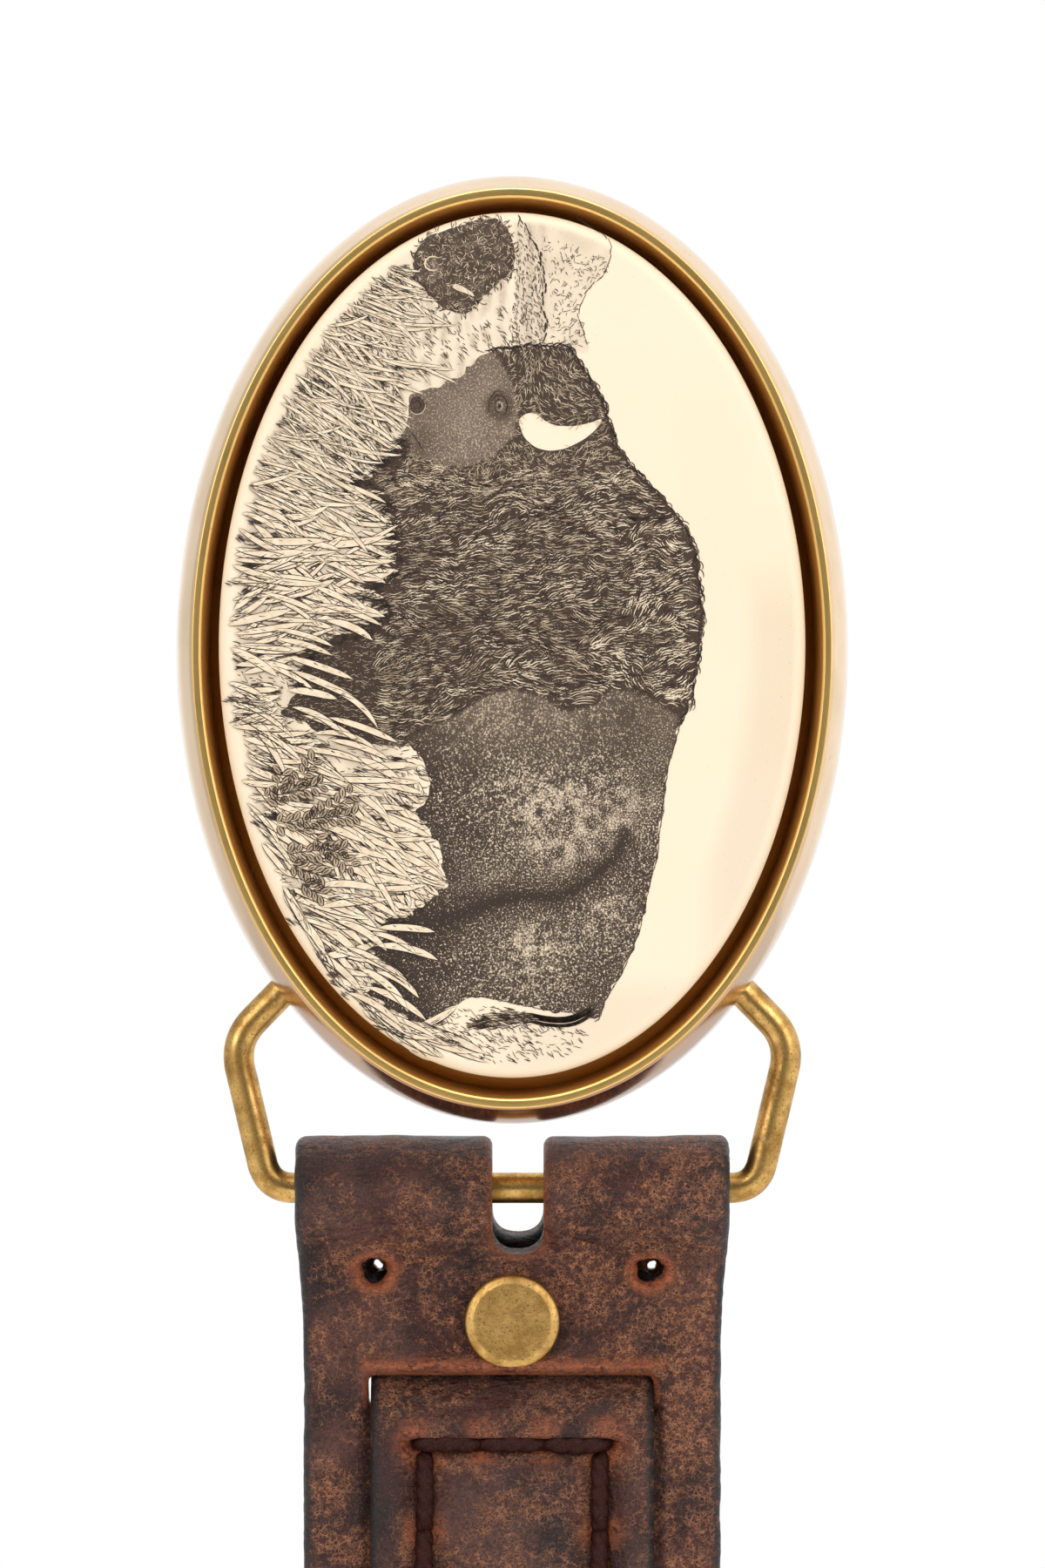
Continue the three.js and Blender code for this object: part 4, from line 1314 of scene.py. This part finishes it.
def far_ink(points):
    u, v = points[:, 0], points[:, 1]
    tone = 0.84 + 0.25 * field(u, v, 1.3, 21.0) - 0.25 * spot(points, (-32.6, -6.9), 0.7)
    return {"tone": np.clip(tone, 0, 1), "grainy": np.full(len(u), 0.5)}


def curve(start, angle, length, bend, count):
    """A line's points and its angles, measured from +v towards +u, as it leaves a place and bends."""
    turn = angle + bend * np.linspace(0, 1, count)
    step = length / (count - 1)
    u = start[0] + step * np.concatenate([[0], np.cumsum(np.sin(turn[:-1]))])
    v = start[1] + step * np.concatenate([[0], np.cumsum(np.cos(turn[:-1]))])
    return np.stack([u, v], axis=1), turn


def pinched(width, count):
    """Half widths along a line of count points, narrowing to nothing at both ends."""
    t = np.linspace(0, 1, count)
    return width / 2 * np.sqrt(np.clip(np.minimum(t, 1 - t) / 0.3, 0, 1))


def sliver_faces(count):
    """Triangles of one stroke of count stations: a point at each end, and left, right and keel between."""
    last = 3 * (count - 2) + 1
    pattern = [(0, 1, 2), (0, 2, 3), (0, 3, 1)]
    pattern += [(last, last - 2, last - 3), (last, last - 1, last - 2), (last, last - 3, last - 1)]
    for k in range(count - 3):
        a, b = 1 + 3 * k, 4 + 3 * k
        pattern += [(a, b, b + 1), (a, b + 1, a + 1), (a + 1, b + 1, b + 2)]
        pattern += [(a + 1, b + 2, a + 2), (a + 2, b + 2, b), (a + 2, b, a)]
    return np.array(pattern)


class Strokes:
    """Fine lines on the face. Each is a closed sliver, pinched at its ends and sunk below the face."""

    def __init__(self):
        self.kept = {}

    def add(self, path, width, lift=0.035):
        path = np.asarray(path, float)
        self.kept.setdefault(len(path), []).append((path, width, lift))

    def arc(self, start, angle, length, bend, width, lift=0.035, count=6, within=None):
        """A curved line, kept if all of it lies within an outline."""
        path, _ = curve(start, angle, length, bend, count)
        if within is None or inside(within, path).all():
            self.add(path, width, lift)

    def build(self, name, material, limit=9000):
        parts = []
        for _, group in sorted(self.kept.items()):
            parts += [group[first:first + limit] for first in range(0, len(group), limit)]
        for index, group in enumerate(parts):
            points, faces = stroke_mesh(group)
            obj = outward(make_mesh(f"{name}_{index + 1}", points, faces))
            obj.data.shade_flat()
            finish_piece(obj, "buckle", "ivory_polymer", material)


STROKE_KEEL = -0.03                        # a stroke's keel lies this far below the face


def stroke_mesh(group):
    """Points and faces of strokes that all have the same number of stations."""
    path = np.array([g[0] for g in group])
    width = np.array([g[1] for g in group])[:, None]
    lift = np.array([g[2] for g in group])[:, None]
    count = path.shape[1]
    tangent = np.gradient(path, axis=1)
    tangent /= np.maximum(np.linalg.norm(tangent, axis=2), 1e-9)[..., None]
    side = np.stack([-tangent[..., 1], tangent[..., 0]], axis=-1) * pinched(width, count)[..., None]
    left, right = path + side, path - side

    def placed(line, k, height):
        return on_face(line[:, k:k + 1, 0], line[:, k:k + 1, 1], height)

    rows = [placed(path, 0, lift)]
    for k in range(1, count - 1):
        rows += [placed(left, k, lift), placed(right, k, lift), placed(path, k, STROKE_KEEL)]
    rows.append(placed(path, count - 1, lift))
    points = np.concatenate(rows, axis=1)
    faces = sliver_faces(count)[None] + points.shape[1] * np.arange(len(group))[:, None, None]
    return points.reshape(-1, 3), faces.reshape(-1, 3).tolist()


DARK = Strokes()
MIDDLE = Strokes()
PALE = Strokes()


def scatter(dice, polygon, count):
    """Random places inside an outline."""
    polygon = np.array(polygon)
    low, high = polygon.min(axis=0), polygon.max(axis=0)
    found = []
    while len(found) < count:
        tries = [[dice.uniform(low[0], high[0]), dice.uniform(low[1], high[1])] for _ in range(400)]
        places = np.array(tries)
        found += places[inside(polygon, places)].tolist()
    return found[:count]


def drift(u, v, across, along, seed):
    return noise.noise(Vector((u * across, v * along, seed)))


def fleece():
    """Wavy locks of fine hairs over the dark coat, with dark partings between them."""
    dice = random.Random(3)
    fur = np.array(FUR)
    places = []
    for row, v in enumerate(np.arange(-11.0, 17, 0.64)):
        for u in np.arange(-15.0 + 0.4 * (row % 2), 9, 0.76):
            places.append((u + dice.uniform(-0.28, 0.28), v + dice.uniform(-0.28, 0.28)))
    places = [p for p, keep in zip(places, inside(fur, np.array(places))) if keep]
    for u, v in places:
        hump = float(smooth_step(v, 5.0, 12.0))
        flow = 0.55 * drift(u, v, 0.15, 0.12, 4.0) + (0.75 + 0.75 * hump) * drift(u, v, 0.50, 0.42, 9.0) - 0.1
        bend = math.copysign(dice.uniform(0.6, 1.7), drift(u, v, 0.55, 0.45, 50.0) + dice.uniform(-0.1, 0.1))
        bright = 0.40 + 0.75 * drift(u, v, 0.30, 0.30, 30.0) + 0.28 * hump + 0.03 * min(0.0, v + 2)
        bright = min(1.0, max(0.0, bright))
        hairs = dice.randint(2, 4)
        length = dice.uniform(1.1, 2.1)
        for k in range(hairs):
            across = (k - (hairs - 1) / 2) * dice.uniform(0.20, 0.26)
            start = (u + across * math.cos(flow) - length / 2 * math.sin(flow),
                     v - across * math.sin(flow) - length / 2 * math.cos(flow))
            own = length * (1 - 0.4 * abs(k - hairs / 2) / hairs) * dice.uniform(0.6, 1.05)
            clear = dice.random() < 0.22 + 0.60 * bright
            into, wide = (PALE, 0.042 + 0.044 * bright) if clear else (MIDDLE, 0.045 + 0.020 * bright)
            wide *= dice.uniform(0.8, 1.2)
            into.arc(start, flow - bend / 2, own, bend, wide, 0.036 + 0.001 * (k % 3), within=fur)
        for _ in range(2):
            start = (u + dice.uniform(-0.4, 0.4), v + dice.uniform(-0.5, 0.5))
            own = length * dice.uniform(0.7, 1.2)
            DARK.arc(start, flow - bend / 2, own, bend, dice.uniform(0.06, 0.10), 0.040, within=fur)


def mane():
    """Short tight curls over the head and neck."""
    dice = random.Random(8)
    head = [(-25.8, -1.0), (-26.0, 5.0), (-23.0, 7.0), (-21.0, 8.0), (-17.5, 9.0), (-15.0, 10.5),
            (-13.5, 9.0), (-13.0, 0.0), (-12.5, -10.5), (-16.8, -9.2), (-15.5, -4.5), (-16.5, -1.5),
            (-18.5, 0.0), (-22.0, 0.0)]
    horn, body = np.array(HORN), np.array(BODY)
    for u, v in scatter(dice, head, 1900):
        if inside(horn, np.array([(u, v)]))[0]:
            continue
        swirl = math.atan2(v - 2.0, u + 20.0) + math.pi / 2 if u < -16.5 else 0.5 * math.sin(v * 0.8)
        angle = swirl + 1.4 * drift(u, v, 0.7, 0.7, 60.0) + dice.uniform(-0.4, 0.4)
        into = PALE if dice.random() < 0.35 else MIDDLE
        into.arc((u, v), angle, dice.uniform(0.35, 0.75), dice.uniform(-1.6, 1.6),
                 dice.uniform(0.030, 0.048), 0.036, 5, within=body)
    for area, count in ((FORELEGS, 620), ([(-17.0, -8.5), (-13.0, -8.0), (-9.0, -9.0), (-14.0, -14.5)], 200)):
        for u, v in scatter(dice, area, count):
            MIDDLE.arc((u, v), dice.uniform(-0.5, 0.5), dice.uniform(0.3, 0.7), dice.uniform(-0.4, 0.4),
                       dice.uniform(0.03, 0.05), 0.0235, 5, within=body)


def coat_edges():
    """Curls along the hump and the mane, and ragged hair under the beard, the chest and the forelegs."""
    dice = random.Random(21)
    crest = resample([(-25.6, -2.2), *BODY[1:13], (6.3, 14.6)], 190)
    ahead = np.gradient(crest, axis=0)
    for (u, v), (du, dv) in zip(crest, ahead):
        way = math.atan2(du, dv)
        for _ in range(2):
            DARK.arc((u, v - dice.uniform(0.0, 0.3)), way + dice.uniform(-1.2, -0.2), dice.uniform(0.6, 1.2),
                     dice.uniform(1.6, 3.4), dice.uniform(0.06, 0.10), 0.04)
    back = resample([(6.3, 14.6), *BODY[14:26]], 120)
    ahead = np.gradient(back, axis=0)
    for (u, v), (du, dv) in zip(back, ahead):
        way = math.atan2(du, dv) + dice.uniform(-0.2, 0.2)
        DARK.arc((u, v), way, dice.uniform(0.35, 0.6), 0.1, 0.07, 0.04)
    under = resample([(u, v) for u, v in BODY if -18.5 < u < 2.7 and v < -8.9], 170)
    for u, v in under:
        size = 0.7 + 0.9 * max(0.0, drift(u, v, 0.6, 0.2, 70.0) + 0.35)
        for _ in range(4):
            start = (u + dice.uniform(-0.5, 0.5), v + dice.uniform(0.0, 1.0))
            DARK.arc(start, math.pi + dice.uniform(-0.55, 0.35), size * dice.uniform(0.8, 1.6),
                     dice.uniform(-0.6, 0.6), dice.uniform(0.06, 0.11), dice.choice((0.04, 0.075)))


def ring_line(into, centre, squash, radius, start, sweep_by, width):
    """Part of an oval round a centre."""
    angles = start + np.linspace(0, sweep_by, 9)
    u = centre[0] + radius * squash[0] * np.cos(angles)
    v = centre[1] + radius * squash[1] * np.sin(angles)
    into.add(np.stack([u, v], axis=1), width, 0.045)


def face_lines():
    """The eye, the nostril and the lips."""
    for radius, start, sweep_by, width, into in ((0.85, 0.4, 4.2, 0.10, DARK), (0.5, 2.2, 4.6, 0.10, DARK),
                                                 (0.32, 0.3, 3.8, 0.045, PALE), (1.15, 2.6, 2.6, 0.09, DARK)):
        ring_line(into, EYE, (1.15, 0.8), radius, start, sweep_by, width)
    DARK.add(resample([(EYE[0] - 0.2, EYE[1]), (EYE[0] + 0.2, EYE[1] + 0.02)], 5), 0.28, 0.046)
    for radius, start, sweep_by, width, into in ((0.82, -1.2, 3.0, 0.05, PALE), (0.66, 0.0, 6.0, 0.09, DARK),
                                                 (0.38, 0.0, 6.0, 0.13, DARK)):
        ring_line(into, NOSTRIL, (1.0, 0.9), radius, start, sweep_by, width)
    DARK.add(resample(rounded([(-18.9, -8.9), (-18.0, -8.2), (-16.9, -7.6)], 0.8, 5), 9), 0.10, 0.045)


BLADE_POINTS = 9


def rim_v(u, half=24.7):
    """The picture's lower edge at u."""
    return -half * math.sqrt(max(0.0, 1 - (u / (half + STRETCH)) ** 2))


def blade_roots(dice):
    """Where the blades grow, from the far ones to the near."""
    roots = []
    for _ in range(880):
        u = dice.uniform(-33.5, 33.5)
        low = rim_v(u)
        high = -10.2 if u < -12 else -9.0 if u < 9 else -7.6
        if low < high:
            roots.append((u, low + (high - low) * dice.random() ** (1.6 if u < 9 else 1.2)))
    return sorted(roots, key=lambda root: -root[1])


def draw_blade(dice, path, turn, wide, lift, heavy):
    """One pale blade with its outlines, feathered marks along one side and the dark gap beside it."""
    across = np.stack([np.cos(turn), -np.sin(turn)], axis=1)
    shape = pinched(wide, len(path))[:, None]
    PALE.add(path, wide, lift)
    DARK.add(path + across * shape, heavy * dice.uniform(0.07, 0.11), lift + 0.0012)
    DARK.add(path - across * shape, heavy * dice.uniform(0.05, 0.085), lift + 0.0012)
    edge = dice.choice((-1, 1))
    for _ in range(dice.randint(2, 7)):
        k = dice.randint(1, 6)
        start = path[k] + across[k] * edge * wide * dice.uniform(0.1, 0.42)
        DARK.arc(start, turn[k] - edge * dice.uniform(0.15, 0.45), dice.uniform(0.3, 0.7),
                 dice.uniform(-0.2, 0.2), heavy * dice.uniform(0.035, 0.055), lift + 0.001, 5)
    if dice.random() < 0.50 * heavy:
        k = dice.randint(0, 5)
        place = path[k] + across[k] * edge * (wide * 0.5 + 0.16)
        for _ in range(dice.randint(5, 10)):
            start = (place[0] + dice.uniform(-0.2, 0.2), place[1] + dice.uniform(-0.7, 0.3))
            DARK.arc(start, turn[k] + dice.uniform(-0.12, 0.12), dice.uniform(0.5, 1.1), 0.0,
                     heavy * dice.uniform(0.05, 0.08), lift + 0.0008, 5)


def grass():
    """Blades of grass growing in from the rim, a few of them over the animal's feet."""
    dice = random.Random(5)
    animals = [np.array(outline) for outline in (BODY, FORELEGS, FAR_HEAD)]
    low_ground = [(-34.0, -9.5), (-12.0, -9.5), (8.8, -8.0), (13.5, -7.0), (19.0, -5.6), (23.0, -6.0),
                  (34.0, -8.0), (20.0, -22.0), (0.0, -24.3), (-20.0, -22.0)]
    for u, v in scatter(dice, low_ground, 2600):
        if oval_width(v, u) < 24.3:
            DARK.arc((u, v), 0.3 + dice.gauss(0, 0.4), dice.uniform(0.3, 0.9), dice.uniform(-0.4, 0.4),
                     dice.uniform(0.04, 0.08), 0.028, 5)
    for index, root in enumerate(blade_roots(dice)):
        u = root[0]
        lean = 0.50 - 0.50 * math.exp(-((u + 1.5) / 9.0) ** 2)
        top = float(smooth_step(-u, 8.0, 18.0))
        angle = lean + dice.gauss(0, 0.26 - 0.08 * top)
        length = dice.uniform(3.4, 7.4) - 1.8 * top * dice.random()
        path, turn = curve(root, angle, length, dice.uniform(-0.6, 0.6), BLADE_POINTS)
        covers = np.any([inside(animal, path) for animal in animals], axis=0)
        if oval_width(path[:, 1], path[:, 0]).max() > 24.85 or covers[:2].any():
            continue
        if covers.any():
            beyond = dice.randint(0, 1) if u < 9 else 0
            path = resample(path[:max(3, int(np.argmax(covers)) + beyond)], BLADE_POINTS)
        wide = dice.uniform(0.40, 0.74) * (1 - 0.5 * top)
        draw_blade(dice, path, turn, wide, 0.030 + 0.00011 * index, 1 - 0.38 * top)
    over = [((-6.0, 8.5), (-21.5, -15.5), 17), ((20.0, 30.0), (-17.0, -11.5), 14)]
    for (left, right), (low, high), count in over:
        for k in range(count):
            u = left + (right - left) * (k + dice.random()) / count
            root = (u, max(rim_v(u) + 0.3, dice.uniform(low, high)))
            angle, bend = dice.uniform(-0.2, 0.4), dice.uniform(0.1, 0.9)
            path, turn = curve(root, angle, dice.uniform(4.2, 6.8), bend, BLADE_POINTS)
            draw_blade(dice, path, turn, dice.uniform(0.46, 0.66), 0.125 + 0.0004 * k, 0.9)


def prairie():
    """Bands of short slanting marks between the two heads and behind the animal's legs and tail."""
    dice = random.Random(14)
    ahead = [(-37.0, -9.5), (-30.0, -9.0), (-28.0, -3.0), (-31.0, 0.3), (-25.8, 0.3), (-25.8, -3.0),
             (-23.0, -9.5), (-20.0, -10.0), (-17.5, -10.5), (-15.5, -14.0), (-20.0, -20.0), (-31.0, -14.0)]
    behind = [(31.0, -0.5), (30.6, -4.5), (32.7, -8.0), (33.0, -10.0), (36.0, -5.0), (36.0, 4.0), (33.0, 6.5)]
    for u, v in scatter(dice, ahead, 2000):
        band = math.sin(TAU * (v / 1.25 + 0.35 * drift(u, v, 0.3, 0.3, 6.0)))
        if v > -10 and band < dice.uniform(-0.6, 0.9):
            continue
        if oval_width(v, u) > 24.5:
            continue
        DARK.arc((u, v), 0.75 + dice.gauss(0, 0.25) + 0.3 * (v < -10), dice.uniform(0.3, 0.85),
                 dice.uniform(-0.2, 0.4), dice.uniform(0.035, 0.06), 0.03, 5)
    for u, v in scatter(dice, behind, 420):
        if oval_width(v, u) < 23.6:
            DARK.arc((u, v), 0.5 + dice.gauss(0, 0.3), dice.uniform(0.3, 0.8), 0.0,
                     dice.uniform(0.04, 0.07), 0.03, 5)


def far_plain():
    """The ridge, the bushes on the skyline and the second head's curls."""
    dice = random.Random(31)
    for line, width in ((RIDGE, 0.16), (SKYLINE, 0.08)):
        path = resample(rounded(line, 0.6, 4), 90)
        for k in range(0, 86, 3):
            piece = path[k:k + 5] + np.array([dice.uniform(-0.07, 0.07), dice.uniform(-0.12, 0.12)])
            DARK.add(piece, width * dice.uniform(0.6, 1.2), 0.03)
    for u, v in scatter(dice, [*SKYLINE, (-26.2, 3.2), (-31.0, 3.3), (-36.6, 2.2)], 330):
        if oval_width(v, u) < 23.9:
            DARK.arc((u, v), dice.uniform(-2.0, 1.2), dice.uniform(0.2, 0.6), dice.uniform(-1.2, 1.2),
                     dice.uniform(0.03, 0.05), 0.03)
    for u, v in scatter(dice, [*RIDGE, (-26.0, -0.5), (-31.0, 0.2), (-36.5, 0.3)], 300):
        DARK.arc((u, v), 1.2 + dice.gauss(0, 0.4), dice.uniform(0.2, 0.6), 0.0,
                 dice.uniform(0.04, 0.06), 0.03, 5)
    for u, v in scatter(dice, FAR_HEAD, 420):
        if not inside(np.array(FAR_HORN), np.array([(u, v)]))[0]:
            into = dice.choice((PALE, MIDDLE, MIDDLE))
            into.arc((u, v), dice.uniform(-1.5, 1.5), dice.uniform(0.3, 0.6), dice.uniform(-1.8, 1.8),
                     0.045, 0.036, 6)
    edge = resample([*FAR_HEAD, FAR_HEAD[0]], 190)
    for u, v in edge:
        DARK.arc((u, v), dice.uniform(-3, 3), dice.uniform(0.4, 0.8), dice.uniform(-1.6, 1.6), 0.07, 0.034)
    angles = np.linspace(2.4, 7.0, 9)
    PALE.add(np.stack([-33.2 + 0.62 * np.cos(angles), -6.8 + 0.75 * np.sin(angles)], axis=1), 0.14, 0.04)


def leafy_plant():
    """A low plant of small pointed leaves in pairs."""
    dice = random.Random(40)
    stems = [((13.0, -21.5), (11.8, -16.6)), ((15.2, -20.6), (14.4, -13.6)), ((17.8, -19.6), (17.4, -14.6)),
             ((12.2, -19.0), (9.8, -17.2)), ((18.6, -19.2), (19.6, -16.4)), ((15.8, -18.4), (12.6, -13.9)),
             ((16.2, -17.2), (18.8, -13.9)), ((13.6, -20.2), (10.8, -19.9)), ((20.2, -18.2), (21.2, -16.6))]
    for root, top in stems:
        root, top = np.array(root), np.array(top)
        stem = resample([root, (root + top) / 2 + dice.uniform(-0.25, 0.25), top], 9)
        DARK.add(stem, 0.09, 0.128)
        length = np.linalg.norm(top - root)
        way = math.atan2(top[0] - root[0], top[1] - root[1])
        pairs = max(3, int(length / 0.72))
        for k in range(pairs + 1):
            base = root + (top - root) * (k + 0.4) / (pairs + 0.6)
            for side in (-1, 1):
                angle = way + side * dice.uniform(0.7, 1.15)
                size = dice.uniform(0.85, 1.15)
                wide = size * 0.5
                heading = np.array([math.sin(angle), math.cos(angle)])
                middle = base + heading * (0.12 + size / 2)
                across = np.array([heading[1], -heading[0]])
                t = np.linspace(0, 1, 9)
                spine = base + np.outer(0.12 + size * t, heading)
                MIDDLE.add(spine, wide, 0.130)
                swell = (wide / 2 * np.sin(math.pi * t) ** 0.7)[:, None]
                DARK.add(spine + across * swell, 0.10, 0.132)
                DARK.add(spine - across * swell, 0.10, 0.132)
                DARK.add(spine[1:7], 0.10, 0.132)


def tail():
    """The tail hanging behind the hind leg, with its tuft."""
    dice = random.Random(50)
    line = rounded([(31.2, 7.0), (32.3, 5.2), (32.2, 2.8), (31.7, 1.2), (32.1, -1.0), (32.7, -3.8)], 1.2, 6)
    line = resample(line, 60)
    for _ in range(60):
        shift = np.array([dice.uniform(-0.40, 0.40), dice.uniform(-0.2, 0.2)])
        DARK.add(resample(line[:34], 11) + shift, 0.12, 0.04)
    MIDDLE.add(resample(line[4:30], 11) + (0.12, 0.0), 0.09, 0.042)
    for index in range(230):
        t = dice.uniform(0.45, 0.95)
        spread = 0.72 * math.sin(math.pi * min(1, (t - 0.38) / 0.6))
        place = line[int(t * 59)] + np.array([dice.uniform(-spread, spread), 0])
        into = DARK if index % 4 else MIDDLE
        into.arc(place, math.pi + dice.uniform(-0.35, 0.35), dice.uniform(0.5, 1.2), dice.uniform(-0.3, 0.3),
                 dice.uniform(0.05, 0.09), 0.042)


inlay()
ink_plate("hide", wavy(BODY, 0.5, 0.16, 0.34, 1.2, 2.0), [wavy(HORN, 0.5, 0.12, 0.0, 1.0, 0.0)],
          0.24, hide_ink, 0.02)
ink_plate("far_head", wavy(FAR_HEAD, 0.5, 0.15, 0.14, 1.6, 4.0), [wavy(FAR_HORN, 0.2, 0.1, 0.0, 1.0, 0.0)],
          0.22, far_ink, 0.02)
fleece()
mane()
coat_edges()
face_lines()
grass()
prairie()
far_plain()
leafy_plant()
tail()
DARK.build("ink_lines", INK)
MIDDLE.build("tan_lines", TAN)
PALE.build("bare_lines", BARE)


# ------------------------------------------------------------------ stage

FLOOR_RADIUS, FLOOR_SIDES, FLOOR_Z, FLOOR_THICK = 420, 96, -130.0, 3


def floor():
    angles = np.linspace(0, TAU, FLOOR_SIDES, endpoint=False)
    level = np.full(FLOOR_SIDES, FLOOR_Z)
    ring = np.stack([FLOOR_RADIUS * np.cos(angles), FLOOR_RADIUS * np.sin(angles), level], axis=1)
    points = np.concatenate([ring, ring - (0, 0, FLOOR_THICK)])
    faces = [tuple(range(FLOOR_SIDES)), tuple(reversed(range(FLOOR_SIDES, 2 * FLOOR_SIDES)))]
    for i in range(FLOOR_SIDES):
        j = (i + 1) % FLOOR_SIDES
        faces.append((i, i + FLOOR_SIDES, j + FLOOR_SIDES, j))
    obj = outward(make_mesh("floor", points, faces))
    s = Shader("floor_paper", Roughness=0.9)
    s.bsdf.inputs["Base Color"].default_value = (0.86, 0.86, 0.85, 1)
    obj.data.materials.append(s.material)


def soft_box(name, place, target, size, power):
    light = bpy.data.lights.new(name, "AREA")
    light.shape = "RECTANGLE"
    light.size, light.size_y = size
    light.energy = power
    obj = bpy.data.objects.new(name, light)
    obj.location = place
    obj.rotation_euler = (Vector(target) - Vector(place)).to_track_quat("-Z", "Y").to_euler()
    bpy.context.scene.collection.objects.link(obj)


def surroundings():
    """White all round, greyer towards the viewer, so that polished faces have something to reflect."""
    world = bpy.data.worlds.new("studio")
    bpy.context.scene.world = world
    world.use_nodes = True
    tree = world.node_tree
    back = tree.nodes["Background"]
    place = tree.nodes.new("ShaderNodeTexCoord")
    split = tree.nodes.new("ShaderNodeSeparateXYZ")
    tree.links.new(place.outputs["Generated"], split.inputs[0])
    fade = tree.nodes.new("ShaderNodeMapRange")
    fade.interpolation_type = "SMOOTHSTEP"
    for key, value in {"From Min": -0.95, "From Max": -0.35, "To Min": 0.10, "To Max": 1.0}.items():
        fade.inputs[key].default_value = value
    tree.links.new(split.outputs["Y"], fade.inputs["Value"])
    side = tree.nodes.new("ShaderNodeMapRange")
    for key, value in {"From Min": -0.75, "From Max": -0.25, "To Min": 0.62, "To Max": 1.0}.items():
        side.inputs[key].default_value = value
    tree.links.new(split.outputs["X"], side.inputs["Value"])
    both = tree.nodes.new("ShaderNodeMath")
    both.operation = "MULTIPLY"
    tree.links.new(fade.outputs["Result"], both.inputs[0])
    tree.links.new(side.outputs["Result"], both.inputs[1])
    tree.links.new(both.outputs[0], back.inputs["Strength"])
    back.inputs["Color"].default_value = (1, 1, 1, 1)


SENSOR, DISTANCE, FRAME_TALL = 36, 600, 137.2   # in millimetres; the view is this tall at that distance


def camera():
    data = bpy.data.cameras.new("photographer")
    data.sensor_fit = "VERTICAL"
    data.sensor_height = SENSOR
    data.lens = SENSOR * DISTANCE / FRAME_TALL
    data.clip_start, data.clip_end = 0.01, 10
    obj = bpy.data.objects.new("photographer", data)
    obj.location = (0.0009, -0.5996, -0.0117)
    obj.rotation_euler = (math.pi / 2, 0, 0)
    bpy.context.scene.collection.objects.link(obj)
    bpy.context.scene.camera = obj


floor()
surroundings()
soft_box("left_box", (-0.45, -0.50, 0.25), (0, 0, 0), (0.35, 0.5), 1.6)
soft_box("right_box", (0.45, -0.50, 0.25), (0, 0, 0), (0.35, 0.5), 1.6)
soft_box("top_box", (0, -0.15, 0.6), (0, 0, 0), (0.5, 0.3), 1.3)
soft_box("glint", (-0.22, -0.62, 0.40), (0, 0, -0.04), (0.06, 0.06), 0.32)
camera()
bpy.context.scene.view_settings.view_transform = "Standard"
